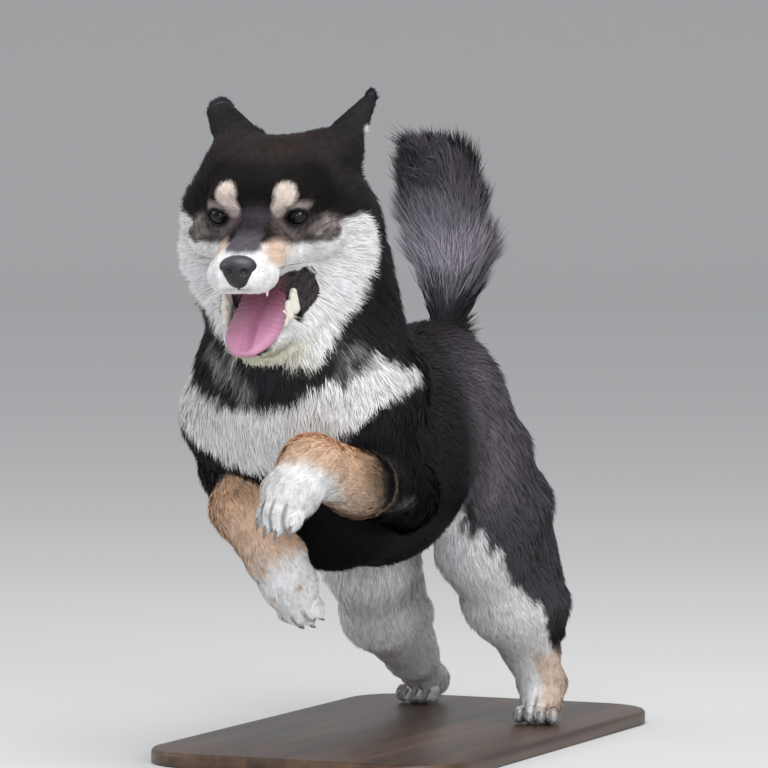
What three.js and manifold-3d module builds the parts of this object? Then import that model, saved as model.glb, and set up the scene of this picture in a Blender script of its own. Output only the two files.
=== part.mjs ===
// A black and tan shiba inu bounding on its hind feet, life size, on a flat display base.
// Millimetres, +Z up. The dog faces -Y, its left side is +X, and the base stands on Z = 0.
// Flesh is described as smoothly joined rounded forms, skinned on a grid, then parted with thin cuts.
import * as THREE from "three";
import { SimplifyModifier } from "three/addons/modifiers/SimplifyModifier.js";
import { mergeVertices } from "three/addons/utils/BufferGeometryUtils.js";
import Module from "manifold-3d";

const wasm = await Module();
wasm.setup();

// Driving dimensions
const GAP = 0.3; // between touching pieces
const BASE_FRONT = -175; // the base's ends, along the dog
const BASE_REAR = 290;
const BASE_WIDTH = 270;
const BASE_CORNER = 50;
const BASE_THICK = 12;
const BASE_BEVEL = 2;
const FLOOR = BASE_THICK; // the level that the hind feet stand on
const EYE_SPACING = 59; // between the eyeballs' centres
const EYE_RADIUS = 10.5;
const HEAD_TURN = THREE.MathUtils.degToRad(12); // towards the dog's left
const HEAD_DROP = THREE.MathUtils.degToRad(9); // nose down
const CELL_TORSO = 11; // sizes of the skinning grids
const CELL_HEAD = 5.2;
const CELL_LIMB = 8;
const CELL_PAW = 5;
const CELL_TAIL = 9;
const CELL_EAR = 4.6;
const CELL_TONGUE = 4.2;
const CELL_NOSE = 5.2;
const KEPT = 0.125; // share of the grid's corners that the finished skin keeps
const KEPT_HEAD = 0.1;
const KEPT_LIMB = 0.19;
const KEPT_PAW = 0.13;
const KEPT_HOLLOW = 0.5;
const KEPT_TONGUE = 0.35;
const ANKLE = FLOOR + 27; // where a hind paw is parted from its leg
const CLAW_LENGTH = 10;
const CLAW_RADIUS = 2.1;
const CLAW_ROOT = 4; // how deep a claw sits in its toe
const TOES = 4;
const EAR_THIN = 0.6; // an ear's thickness for its width
const PLAY = 0.6; // how much wider a hollow is than the faceted piece that lies in it
const LEFT = 1;
const RIGHT = -1;

const COAT = {
  black: 0x1d1a1b,
  tan: 0xb98a5c,
  cream: 0xd9d3cb,
  skin: 0x121112,
  tongue: 0xc46d80,
  claw: 0x2a2526,
  eye: 0x0d0a0a,
  wood: 0x3a2a20,
};

// Points and directions
const V = (x, y, z) => new THREE.Vector3(x, y, z);
const along = (a, b, t) => a.clone().lerp(b, t);

const HEAD_ORIGIN = V(-2, -219, 433.6); // midway between the eyes
const HEAD_LEFT = V(Math.cos(HEAD_TURN), Math.sin(HEAD_TURN), 0);
const HEAD_BACK = V(
  -Math.sin(HEAD_TURN) * Math.cos(HEAD_DROP),
  Math.cos(HEAD_TURN) * Math.cos(HEAD_DROP),
  Math.sin(HEAD_DROP),
);
const HEAD_UP = HEAD_LEFT.clone().cross(HEAD_BACK);
const HEAD_AXES = [HEAD_LEFT, HEAD_BACK, HEAD_UP];
const [X, Y, Z] = [V(1, 0, 0), V(0, 1, 0), V(0, 0, 1)];
const WORLD_AXES = [X, Y, Z];

// A point of the head: x to the dog's left, y back, z up, from midway between the eyes
function headPoint(x, y, z) {
  return HEAD_ORIGIN.clone()
    .addScaledVector(HEAD_LEFT, x)
    .addScaledVector(HEAD_BACK, y)
    .addScaledVector(HEAD_UP, z);
}

// Rounded forms. Each gives a distance and a ball that holds it.
function egg(middle, radii, axes = WORLD_AXES) {
  const [a, b, c] = axes;
  const [ra, rb, rc] = radii;
  return {
    middle,
    reach: Math.max(...radii),
    at(x, y, z) {
      const dx = x - middle.x;
      const dy = y - middle.y;
      const dz = z - middle.z;
      const u = (dx * a.x + dy * a.y + dz * a.z) / ra;
      const v = (dx * b.x + dy * b.y + dz * b.z) / rb;
      const w = (dx * c.x + dy * c.y + dz * c.z) / rc;
      const near = Math.hypot(u, v, w);
      const slope = Math.hypot(u / ra, v / rb, w / rc);
      return slope > 1e-9 ? (near * (near - 1)) / slope : -Math.min(...radii);
    },
  };
}

// A tube from a to b whose radius runs from ra to rb, made wider along side by the factor wide
function tube(a, b, ra, rb, side = WORLD_AXES[0], wide = 1) {
  const run = b.clone().sub(a);
  const length2 = Math.max(run.lengthSq(), 1e-9);
  const more = 1 / wide - 1;
  return {
    middle: along(a, b, 0.5),
    reach: Math.sqrt(length2) / 2 + Math.max(ra, rb) * Math.max(1, wide),
    at(x, y, z) {
      const px = x - a.x;
      const py = y - a.y;
      const pz = z - a.z;
      const t = Math.min(1, Math.max(0, (px * run.x + py * run.y + pz * run.z) / length2));
      const qx = px - t * run.x;
      const qy = py - t * run.y;
      const qz = pz - t * run.z;
      const s = (qx * side.x + qy * side.y + qz * side.z) * more;
      return Math.hypot(qx + s * side.x, qy + s * side.y, qz + s * side.z) - (ra + (rb - ra) * t);
    },
  };
}

// A chain of tubes through points of {at, r}
function chain(points, side, wide) {
  return points.slice(1).map((p, i) => tube(points[i].at, p.at, points[i].r, p.r, side, wide));
}

function holder(forms) {
  const box = new THREE.Box3();
  for (const f of forms) {
    const size = 2 * f.reach;
    box.union(new THREE.Box3().setFromCenterAndSize(f.middle, V(size, size, size)));
  }
  const ball = box.getBoundingSphere(new THREE.Sphere());
  return { middle: ball.center, reach: ball.radius };
}

// Forms joined with a fillet of about k
function joined(k, ...forms) {
  return {
    ...holder(forms),
    at(x, y, z) {
      let d = 1e6;
      for (const f of forms) {
        const least = Math.hypot(x - f.middle.x, y - f.middle.y, z - f.middle.z) - f.reach;
        if (least > d + k) continue;
        const e = f.at(x, y, z);
        const h = Math.max(k - Math.abs(d - e), 0) / k;
        d = Math.min(d, e) - h * h * k * 0.25;
      }
      return d;
    },
  };
}

// form with tool scooped out of it, with a rounded rim of about k
function scooped(k, form, ...tools) {
  return {
    middle: form.middle,
    reach: form.reach,
    at(x, y, z) {
      let d = form.at(x, y, z);
      for (const tool of tools) {
        const e = -tool.at(x, y, z);
        const h = Math.max(k - Math.abs(d - e), 0) / k;
        d = Math.max(d, e) + h * h * k * 0.25;
      }
      return d;
    },
  };
}

// form with its skin moved out by play
function grown(form, play) {
  return { middle: form.middle, reach: form.reach + play, at: (x, y, z) => form.at(x, y, z) - play };
}

// Skins a form on a grid of cubes and pulls the corners onto the form (surface nets)
function netted(form, box, cell) {
  const size = box.getSize(V(0, 0, 0));
  const n = [size.x, size.y, size.z].map((s) => Math.ceil(s / cell) + 1);
  const id = (i, j, k) => (k * n[1] + j) * n[0] + i;
  const value = new Float32Array(n[0] * n[1] * n[2]);
  for (let k = 0; k < n[2]; k++)
    for (let j = 0; j < n[1]; j++)
      for (let i = 0; i < n[0]; i++) {
        const rim = [i, j, k].some((c, axis) => c === 0 || c === n[axis] - 1);
        const at = form.at(box.min.x + i * cell, box.min.y + j * cell, box.min.z + k * cell);
        value[id(i, j, k)] = rim ? Math.max(at, 0.3 * cell) : at;
      }
  const corners = [0, 1, 2, 3, 4, 5, 6, 7].map((c) => [c & 1, (c >> 1) & 1, c >> 2]);
  const edges = [];
  for (let a = 0; a < 8; a++) for (const bit of [1, 2, 4]) if (!(a & bit)) edges.push([a, a | bit]);
  const cornerOf = new Map();
  const places = [];
  for (let k = 0; k < n[2] - 1; k++)
    for (let j = 0; j < n[1] - 1; j++)
      for (let i = 0; i < n[0] - 1; i++) {
        const v = corners.map(([a, b, c]) => value[id(i + a, j + b, k + c)]);
        if (v.every((d) => d < 0) || v.every((d) => d >= 0)) continue;
        const sum = [0, 0, 0];
        let crossings = 0;
        for (const [a, b] of edges) {
          if (v[a] < 0 === v[b] < 0) continue;
          const t = v[a] / (v[a] - v[b]);
          for (let axis = 0; axis < 3; axis++)
            sum[axis] += corners[a][axis] * (1 - t) + corners[b][axis] * t;
          crossings++;
        }
        const [x, y, z] = sum.map((s, axis) => ([i, j, k][axis] + s / crossings) * cell);
        cornerOf.set(id(i, j, k), places.length / 3);
        places.push(...pulled(form, box.min.x + x, box.min.y + y, box.min.z + z, cell));
      }
  const faces = [];
  const step = [1, n[0], n[0] * n[1]];
  for (let k = 0; k < n[2] - 1; k++)
    for (let j = 0; j < n[1] - 1; j++)
      for (let i = 0; i < n[0] - 1; i++)
        for (let axis = 0; axis < 3; axis++) {
          const here = id(i, j, k);
          const inside = value[here] < 0;
          if (inside === value[here + step[axis]] < 0) continue;
          const u = step[(axis + 1) % 3];
          const w = step[(axis + 2) % 3];
          const quad = [here - u - w, here - w, here, here - u].map((c) => cornerOf.get(c));
          if (!inside) quad.reverse();
          faces.push(quad[0], quad[1], quad[2], quad[0], quad[2], quad[3]);
        }
  return new THREE.BufferGeometry()
    .setAttribute("position", new THREE.BufferAttribute(new Float32Array(places), 3))
    .setIndex(faces);
}

// One corner moved onto the form along its slope, by less than half a cell
function pulled(form, x, y, z, cell) {
  const e = 0.4;
  let [px, py, pz] = [x, y, z];
  for (let turn = 0; turn < 2; turn++) {
    const d = form.at(px, py, pz);
    const gx = (form.at(px + e, py, pz) - form.at(px - e, py, pz)) / (2 * e);
    const gy = (form.at(px, py + e, pz) - form.at(px, py - e, pz)) / (2 * e);
    const gz = (form.at(px, py, pz + e) - form.at(px, py, pz - e)) / (2 * e);
    const g2 = Math.max(gx * gx + gy * gy + gz * gz, 0.05);
    px -= (d * gx) / g2;
    py -= (d * gy) / g2;
    pz -= (d * gz) / g2;
  }
  const moved = Math.hypot(px - x, py - y, pz - z);
  const share = moved > 0.45 * cell ? (0.45 * cell) / moved : 1;
  return [x + (px - x) * share, y + (py - y) * share, z + (pz - z) * share];
}

// A solid skinned on a grid, which then keeps only the share of corners that its shape needs
async function skinned(form, box, cell, kept = KEPT) {
  const net = netted(form, box, cell);
  if (kept === 1) return solidOf(net);
  const spare = Math.floor(net.attributes.position.count * (1 - kept));
  return solidOf(await new SimplifyModifier().modify(net, spare));
}

// Joining and cutting
function solidOf(geometry) {
  const bare = new THREE.BufferGeometry().setAttribute("position", geometry.getAttribute("position"));
  if (geometry.index) bare.setIndex(geometry.index);
  const merged = mergeVertices(bare, 1e-3);
  return new wasm.Manifold(
    new wasm.Mesh({
      numProp: 3,
      vertProperties: new Float32Array(merged.attributes.position.array),
      triVerts: new Uint32Array(merged.index.array),
    }),
  );
}

function geometryOf(solid) {
  const mesh = solid.getMesh();
  const places = new Float32Array(mesh.numVert * 3);
  for (let i = 0; i < mesh.numVert; i++)
    for (let axis = 0; axis < 3; axis++)
      places[3 * i + axis] = mesh.vertProperties[i * mesh.numProp + axis];
  const geometry = new THREE.BufferGeometry()
    .setAttribute("position", new THREE.BufferAttribute(places, 3))
    .setIndex(new THREE.BufferAttribute(new Uint32Array(mesh.triVerts), 1));
  geometry.computeVertexNormals();
  return geometry;
}

// The largest body of a solid, without the crumbs that a cut can leave
function largest(solid) {
  return solid.decompose().sort((a, b) => b.volume() - a.volume())[0];
}

// A block that fills the space beyond a plane, which lies play before its point
function block({ point, way }, play = 0) {
  const reach = 3000;
  const geometry = new THREE.BoxGeometry(reach, reach, reach);
  geometry.translate(0, 0, reach / 2 - play);
  geometry.applyQuaternion(new THREE.Quaternion().setFromUnitVectors(V(0, 0, 1), way.clone().normalize()));
  return solidOf(geometry.translate(point.x, point.y, point.z));
}
const plane = (point, way) => ({ point, way });

// Parts a solid: [what lies beyond all the planes, the rest], GAP apart
function parted(solid, ...planes) {
  const beyond = (play) => planes.map((p) => block(p, play)).reduce((a, b) => a.intersect(b));
  return [solid.intersect(beyond(0)), solid.subtract(beyond(GAP))];
}

// A smooth step from 0 at one value to 1 at another
const soft = (from, to, x) => THREE.MathUtils.smoothstep((x - from) / (to - from), 0, 1);

// Flesh of the trunk and neck
const NECK_ROOT = V(-7, -118, 318);
const NECK_TOP = V(-4, -130, 422);
const trunkForms = [
  egg(V(0, -92, 250), [78, 88, 98]),
  egg(V(-5, -150, 284), [76, 55, 62]),
  egg(V(0, -8, 244), [76, 108, 96]),
  egg(V(0, 78, 258), [60, 78, 78]),
  egg(V(0, 116, 264), [54, 64, 76]),
];
const neckForms = [
  tube(NECK_ROOT, NECK_TOP, 84, 62),
  tube(V(-8, -160, 306), headPoint(0, 48, -62), 64, 44),
  tube(V(0, -62, 300), V(0, -100, 396), 46, 40),
];

// The head, given from midway between the eyes
const headEgg = (x, y, z, radii) => egg(headPoint(x, y, z), radii, HEAD_AXES);
const headTube = (a, b, ra, rb, wide = 1) => tube(headPoint(...a), headPoint(...b), ra, rb, HEAD_LEFT, wide);
const headForms = [
  headEgg(0, 52, 2, [58, 55, 52]),
  headEgg(40, 82, 34, [24, 24, 20]),
  headEgg(-33, 80, 34, [20, 24, 20]),
  headEgg(-38, 68, 20, [22, 26, 22]),
  headEgg(0, 14, 12, [38, 22, 20]),
  headTube([0, 6, -27], [0, -57, -31], 25, 16.5, 1.36),
  headTube([0, 0, -16], [0, -50, -25], 15, 10, 1.1),
];
for (const side of [LEFT, RIGHT]) {
  headForms.push(headEgg(side * 38, 26, -20, [24, 26, 18]));
  headForms.push(headEgg(side * 44, 54, -34, [31, 29, 40]));
  headForms.push(headEgg(side * 46, 60, -6, [27, 30, 30]));
  headForms.push(headEgg(side * 33, 46, -62, [29, 28, 30]));
  headForms.push(headEgg(side * 24, 72, 30, [25, 30, 22]));
  headForms.push(headEgg(side * 21, 3, 14, [11, 8, 8]));
  headForms.push(headEgg(side * 13, -54, -37, [13, 15, 11]));
}

// An ear is a flattened cone that is folded back, hollow on its outer side. Each is turned its own way:
// flat is its thin direction, to the dog's left and back.
const pinnae = [
  {
    side: LEFT,
    root: [42, 90, 34],
    tip: [63, 131, 69],
    radii: [24, 8],
    flat: [0.6, 0.8],
  },
  {
    side: RIGHT,
    root: [-31, 88, 36],
    tip: [-56, 125, 59],
    radii: [23, 12.5],
    flat: [-0.6, 0.8],
  },
];
for (const ear of pinnae) {
  const [root, tip] = [ear.root, ear.tip].map((p) => headPoint(...p));
  const [left, back] = ear.flat;
  const flat = V(0, 0, 0).addScaledVector(HEAD_LEFT, left).addScaledVector(HEAD_BACK, back).normalize();
  const off = (p, away) => p.clone().addScaledVector(flat, away);
  const hollow = tube(off(root, 22), off(tip, 8), 15, 5);
  const cone = tube(root, tip, ...ear.radii, flat, EAR_THIN);
  Object.assign(ear, { from: root, at: along(root, tip, 0.5), to: tip, form: scooped(4, cone, hollow) });
}

const jawForms = [
  headTube([0, 28, -71], [0, -20, -90], 24, 13, 1.7),
  headTube([0, -20, -90], [0, -49, -92.5], 13, 9, 1.8),
];

// The open mouth runs from its corners to the nose, between the upper lips, which fall gently forward, and
// the lower jaw, which drops fast at the corners and slower further on. The gums stand above the lower lips.
const LIP_LEVEL = -51; // of the upper lips at LIP_FRONT
const LIP_FRONT = -50;
const LIP_SLOPE = 0.115;
const MOUTH_END = 18; // the corners' place along the head
const MOUTH_HALF = 48;
const GAPE = 10.6; // how far the lower lips drop, for the distance from the corners to the power GAPE_POWER
const GAPE_POWER = 0.35;
const GUM_HIGH = 9;
const GUM_HALF = 22;
const mouthCorner = headPoint(0, MOUTH_END + 2, LIP_LEVEL + 2);
const mouth = {
  middle: headPoint(0, -30, -70),
  reach: 110,
  at(x, y, z) {
    const from = [x - HEAD_ORIGIN.x, y - HEAD_ORIGIN.y, z - HEAD_ORIGIN.z];
    const [a, b, c] = HEAD_AXES.map((axis) => from[0] * axis.x + from[1] * axis.y + from[2] * axis.z);
    const level = LIP_LEVEL + LIP_SLOPE * (b - LIP_FRONT);
    const ahead = MOUTH_END - b;
    const gum = GUM_HIGH * soft(GUM_HALF + 8, GUM_HALF, Math.abs(a)) * soft(-45, -25, b);
    const drop = ahead > 0 ? GAPE * ahead ** GAPE_POWER - gum : 2 * ahead;
    const steep = ahead > 0 ? Math.min(2, GAPE * GAPE_POWER * ahead ** (GAPE_POWER - 1)) : 2;
    const floor = (level - drop - c) / Math.hypot(1, steep);
    const side = (Math.hypot(a / MOUTH_HALF, (b - 26) / 100) - 1) * MOUTH_HALF;
    return Math.max(c - level, floor, side);
  },
};
const tongueKnots = [
  { at: headPoint(2, 8, -61), r: 5 },
  { at: headPoint(5, -21, -72), r: 6 },
  { at: headPoint(3, -46, -84), r: 6.2 },
  { at: headPoint(2, -57, -90), r: 4.6 },
  { at: headPoint(1, -65, -94), r: 2.6 },
];
const tongueForm = joined(2.5, ...chain(tongueKnots, HEAD_LEFT, 3.4));
const nostrils = [LEFT, RIGHT].map((side) => headEgg(side * 6, -78, -28, [3.6, 4, 2.6]));
const noseForm = scooped(
  2,
  joined(5, headEgg(0, -66, -26.5, [15.5, 11, 11]), headEgg(0, -66, -36, [11.5, 9.5, 9.5])),
  ...nostrils,
);
const skullForm = scooped(
  4,
  joined(8, joined(12, ...headForms), ...pinnae.map((ear) => ear.form), joined(8, ...jawForms)),
  mouth,
);

// Limbs, as chains of {at, r}. The upper run is blended into the trunk, the lower run is free.
const knots = (...list) => list.map(([x, y, z, r]) => ({ at: V(x, y, z), r }));
const foreLeft = {
  name: "left",
  side: LEFT,
  upper: knots([42, -96, 300, 40], [52, -148, 276, 38], [75, -125, 218, 29], [70, -190, 229, 26]),
  lower: knots([70, -190, 229, 26], [59, -248, 246, 24], [50, -271, 226, 20], [47, -281, 213, 16]),
  toeReach: 9,
  toeSpread: 9.6,
};
const foreRight = {
  name: "right",
  side: RIGHT,
  upper: knots([-44, -96, 300, 40], [-56, -148, 276, 40], [-66, -118, 236, 31], [-40, -165, 206, 25]),
  lower: knots([-40, -165, 206, 25], [-4, -184, 170, 21.5], [6, -181, 150, 20], [9, -170, 132, 16]),
  toeReach: 9,
  toeSpread: 10,
};
const hindLeft = {
  name: "left",
  side: LEFT,
  stands: true,
  upper: knots([35, 112, 240, 38], [60, 80, 165, 42], [70, 108, 115, 35]),
  lower: knots([70, 108, 115, 35], [75, 140, 74, 22], [84, 145, 44, 18], [87, 137, 29, 15], [90, 120, 21, 11]),
  rear: knots([28, 118, 286, 26], [46, 134, 240, 28], [62, 138, 194, 30], [78, 160, 110, 22]),
  heel: knots([78, 160, 110, 20], [81, 168, 88, 15]),
  toeReach: 7,
  toeSpread: 9.4,
};
const hindRight = {
  name: "right",
  side: RIGHT,
  stands: true,
  upper: knots([-35, 112, 240, 38], [-47, 92, 146, 40], [-54, 128, 98, 31]),
  lower: knots(
    [-54, 128, 98, 31],
    [-52, 186, 58, 21],
    [-56, 216, 41, 16],
    [-59, 240, 31, 15],
    [-60, 224, 21, 11],
  ),
  rear: knots([-28, 118, 286, 26], [-44, 134, 236, 28], [-58, 138, 180, 29], [-52, 180, 95, 19]),
  heel: knots([-52, 180, 95, 18], [-50, 204, 70, 13]),
  toeReach: 7,
  toeSpread: 9.2,
};
const fores = [foreLeft, foreRight];
const hinds = [hindLeft, hindRight];

// A paw's own frame: across, along its toes, and out of its back. A paw that stands lies level.
function pawFrame(leg) {
  const [from, to] = leg.lower.slice(-2).map((k) => k.at);
  const along = to.clone().sub(from);
  if (leg.stands) along.z = 0;
  along.normalize();
  const across = V(1, 0, 0).addScaledVector(along, -along.x).normalize();
  return { tip: to, across, along, back: along.clone().cross(across) };
}
function toesOf(leg) {
  const { tip, across, along, back } = pawFrame(leg);
  return Array.from({ length: TOES }, (_, i) => {
    const place = i - (TOES - 1) / 2;
    const inner = Math.abs(place) < 1 ? 1 : 0.35;
    const at = tip
      .clone()
      .addScaledVector(across, place * leg.toeSpread)
      .addScaledVector(along, leg.toeReach * inner)
      .addScaledVector(back, inner - 1);
    return { at, across, along, back };
  });
}
for (const leg of [...fores, ...hinds]) {
  leg.toes = toesOf(leg);
  const { tip, across, along, back } = pawFrame(leg);
  const pad = tip.clone().addScaledVector(along, -6).addScaledVector(back, -9);
  const isFore = fores.includes(leg);
  leg.upperForm = joined(10, ...chain(leg.upper), ...(isFore ? [] : chain(leg.rear)));
  leg.lowerForm = joined(
    7,
    ...chain(leg.lower, across, 1.12),
    ...(isFore ? [egg(pad, [13, 10, 7], [across, along, back])] : chain(leg.heel)),
    ...leg.toes.map((toe) => egg(toe.at, [5.6, 11, 8], [toe.across, toe.along, toe.back])),
  );
  if (!isFore) leg.upperForm = leg.lowerForm = joined(12, leg.upperForm, leg.lowerForm);
}

const tailKnots = knots(
  [0, 138, 326, 24],
  [0, 147, 362, 24],
  [0, 151, 391, 32],
  [0, 137, 423, 34],
  [0, 127, 449, 32],
  [0, 108, 463, 23],
  [0, 88, 473, 14],
  [0, 56, 485, 3.5],
);
const tailForm = joined(12, ...chain(tailKnots));

const upperLegs = [...fores, ...hinds].map((leg) => leg.upperForm);
const torsoForm = joined(16, joined(30, ...trunkForms, ...neckForms), ...upperLegs);
const dogForm = joined(14, torsoForm, skullForm, tailForm);
const boxOf = (x0, y0, z0, x1, y1, z1) => new THREE.Box3(V(x0, y0, z0), V(x1, y1, z1));
const cubeAt = (middle, size) => new THREE.Box3().setFromCenterAndSize(middle, V(size, size, size));
const boxRound = (form, cell) => cubeAt(form.middle, 2 * (form.reach + 2 * cell));

const model = new THREE.Group();
function add(name, solid, color, roughness = 0.9) {
  const material = new THREE.MeshStandardMaterial({ color, roughness, metalness: 0 });
  const mesh = new THREE.Mesh(geometryOf(largest(solid)), material);
  mesh.name = name;
  model.add(mesh);
}

// A curved cone that grows from a toe, play wider all round
function claw(toe, play) {
  const rings = 2;
  const sides = 6;
  const way = toe.along.clone().addScaledVector(toe.back, -0.35).normalize();
  const root = toe.at
    .clone()
    .addScaledVector(toe.along, 10)
    .addScaledVector(toe.back, 2)
    .addScaledVector(way, -CLAW_ROOT);
  const at = (t) => root.clone().addScaledVector(way, t * CLAW_LENGTH).addScaledVector(toe.back, -3 * t * t);
  const places = [];
  for (let r = 0; r < rings; r++) {
    const t = r / rings;
    const radius = CLAW_RADIUS * (1 - t * t * 0.8) + play;
    const middle = at(t).addScaledVector(way, r ? 0 : -play);
    for (let s = 0; s < sides; s++) {
      const angle = (2 * Math.PI * s) / sides;
      const p = middle.clone().addScaledVector(toe.across, radius * Math.cos(angle));
      places.push(...p.addScaledVector(toe.back, radius * Math.sin(angle)).toArray());
    }
  }
  places.push(...at(0).addScaledVector(way, -play).toArray(), ...at(1).addScaledVector(way, play).toArray());
  const [rear, tip] = [rings * sides, rings * sides + 1];
  const faces = [];
  for (let s = 0; s < sides; s++) {
    const n = (s + 1) % sides;
    faces.push(rear, n, s);
    for (let r = 0; r < rings - 1; r++) {
      const [a, b, c, d] = [r * sides + s, r * sides + n, (r + 1) * sides + n, (r + 1) * sides + s];
      faces.push(a, b, c, a, c, d);
    }
    faces.push((rings - 1) * sides + s, (rings - 1) * sides + n, tip);
  }
  return solidOf(
    new THREE.BufferGeometry()
      .setAttribute("position", new THREE.BufferAttribute(new Float32Array(places), 3))
      .setIndex(faces),
  );
}

// A tooth whose root is at a point of the head, up being 1 or -1, and whose tip is the share blunt as wide
function tooth(x, y, z, radius, height, up, blunt) {
  const cone = new THREE.CylinderGeometry(radius * blunt, radius, height, 6);
  const turn = new THREE.Matrix4().makeBasis(HEAD_LEFT, HEAD_UP, HEAD_BACK.clone().negate());
  if (up < 0) cone.rotateX(Math.PI);
  const at = headPoint(x, y, z + (up * height) / 2);
  return solidOf(cone.applyMatrix4(turn).translate(at.x, at.y, at.z));
}

// Regions are skinned apart, each as finely as it needs, and meet at the same cuts
const headCuts = [
  plane(headPoint(0, 74, -30), HEAD_BACK.clone().multiplyScalar(-0.877).addScaledVector(HEAD_UP, 0.48)),
  plane(headPoint(0, 30, -110), HEAD_UP.clone().addScaledVector(HEAD_BACK, 0.05)),
];
let [head] = parted(await skinned(dogForm, cubeAt(headPoint(0, 18, -20), 280), CELL_HEAD, KEPT_HEAD), ...headCuts);
let [, torso] = parted(await skinned(dogForm, boxOf(-150, -420, 80, 150, 260, 540), CELL_TORSO), ...headCuts);

const ears = [];
for (const { side, from, at, to } of pinnae) {
  const cuts = [
    plane(along(from, to, 0.22), to.clone().sub(from)),
    plane(headPoint(side * 14, 0, 0), HEAD_LEFT.clone().multiplyScalar(side)),
    plane(headPoint(0, 0, 36), HEAD_UP),
    plane(headPoint(0, 146, 0), HEAD_BACK.clone().negate()),
  ];
  ears.push(parted(await skinned(dogForm, cubeAt(at, 100), CELL_EAR), ...cuts)[0]);
  [, head] = parted(head, ...cuts);
  [, torso] = parted(torso, ...cuts);
}

const jawCuts = [
  plane(mouthCorner, HEAD_UP.clone().negate().addScaledVector(HEAD_BACK, 0.25)),
  plane(mouthCorner, HEAD_BACK.clone().negate()),
  plane(headPoint(52, 0, 0), HEAD_LEFT.clone().negate()),
  plane(headPoint(-52, 0, 0), HEAD_LEFT),
];
let jaw;
[jaw, head] = parted(head, ...jawCuts);

const eyes = [LEFT, RIGHT].map((side) => {
  const at = headPoint((side * EYE_SPACING) / 2, 7, 0);
  const ball = (r) => solidOf(new THREE.SphereGeometry(r, 12, 8).translate(at.x, at.y, at.z));
  head = head.subtract(ball(EYE_RADIUS + PLAY));
  return ball(EYE_RADIUS);
});
const nose = await skinned(noseForm, boxRound(noseForm, CELL_NOSE), CELL_NOSE, 1);
head = head.subtract(await skinned(grown(noseForm, PLAY), boxRound(noseForm, CELL_NOSE), CELL_NOSE, 1));
const tongueBox = boxRound(tongueForm, CELL_TONGUE);
const tongue = await skinned(tongueForm, tongueBox, CELL_TONGUE, KEPT_TONGUE);
const tongueRoom = await skinned(grown(tongueForm, 2 * PLAY), tongueBox, CELL_TONGUE, KEPT_TONGUE);
head = head.subtract(tongueRoom);
const lowerTeeth = [
  [26, -2, -71, 5.4, 16],
  [24, -12, -75, 4.8, 12.5],
  [22.5, -21, -78, 4, 9.5],
];
for (const side of [LEFT, RIGHT]) {
  head = head.add(tooth(side * 17, -50, -41, 3, 12, -1, 0.2));
  for (const [x, y, z, radius, height] of lowerTeeth)
    jaw = jaw.add(tooth(side * x, y, z, radius, height, 1, 0.5));
}
jaw = jaw.subtract(tongueRoom);

add("head", head, COAT.black);
add("lower_jaw", jaw, COAT.cream);
add("nose", nose, COAT.skin, 0.35);
add("tongue", tongue, COAT.tongue, 0.4);
add("ear_left", ears[0], COAT.black);
add("ear_right", ears[1], COAT.black);
add("eye_left", eyes[0], COAT.eye, 0.1);
add("eye_right", eyes[1], COAT.eye, 0.1);

// The free run of each leg lies in a hollow of the torso
for (const leg of [...fores, ...hinds]) {
  const isFore = fores.includes(leg);
  const box = boxRound(leg.lowerForm, CELL_LIMB);
  const [above, below] = leg.lower.slice(-3, -1).map((k) => k.at);
  const wrist = plane(along(above, below, 0.35), below.clone().sub(above));
  const cut = isFore ? wrist : plane(V(0, 0, ANKLE), Z.clone().negate());
  const outer = plane(V(0, 0, 0), V(leg.side, 0, 0));
  let [, run] = parted(await skinned(leg.lowerForm, box, CELL_LIMB, KEPT_LIMB), cut);
  let [paw] = parted(await skinned(leg.lowerForm, box, CELL_PAW, KEPT_PAW), cut, plane(V(0, 0, FLOOR + GAP), Z));
  if (isFore) torso = torso.subtract(await skinned(grown(leg.lowerForm, 3 * PLAY), box, CELL_LIMB, KEPT_HOLLOW));
  else {
    const [knee, hock] = leg.lower.slice(0, 2).map((k) => k.at);
    const cuts = [plane(knee, hock.clone().sub(knee)), outer, plane(V(0, 0, knee.z + 40), Z.clone().negate())];
    [run] = parted(run, ...cuts);
    [, torso] = parted(torso, ...cuts);
  }
  const kind = isFore ? "fore" : "hind";
  leg.toes.forEach((toe, i) => {
    paw = paw.subtract(claw(toe, GAP));
    add(`claw_${kind}_${leg.name}_${i + 1}`, claw(toe, 0), COAT.claw, 0.4);
  });
  add(`${isFore ? "forearm" : "hock"}_${leg.name}`, run, isFore ? COAT.tan : COAT.cream);
  add(`${kind}_paw_${leg.name}`, paw, COAT.cream);
}

const tailCuts = [plane(V(0, 144, 346), V(0, 0.2, 1)), plane(V(0, 20, 0), V(0, 1, 0))];
const [tail] = parted(await skinned(dogForm, boxOf(-90, 10, 300, 90, 260, 540), CELL_TAIL), ...tailCuts);
[, torso] = parted(torso, ...tailCuts);
add("tail", tail, COAT.black);

// The torso's own parts
function takeTorso(name, color, ...planes) {
  let part;
  [part, torso] = parted(torso, ...planes);
  add(name, part, color);
}
takeTorso("neck", COAT.black, plane(V(0, -120, 332), V(0, -0.25, 1)), plane(V(0, 0, 0), Y.clone().negate()));
for (const { name, side } of fores) {
  const out = X.clone().multiplyScalar(side);
  takeTorso(`upper_arm_${name}`, COAT.black, plane(V(side * 44, 0, 0), out), plane(V(0, -72, 300), V(0, -1, -0.3)));
}
for (const { name, side } of hinds) {
  const out = X.clone().multiplyScalar(side);
  const slope = out.clone().addScaledVector(Z, -0.45); // takes the whole leg below, and its outer half above
  const cuts = [plane(V(side * 8, 0, 200), slope), plane(V(side, 0, 0), out), plane(V(0, 28, 165), V(0, 1, -0.3))];
  takeTorso(`thigh_${name}`, COAT.black, ...cuts, plane(V(0, 0, 275), Z.clone().negate()));
}
takeTorso("chest", COAT.black, plane(V(0, -28, 0), Y.clone().negate()));
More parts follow.
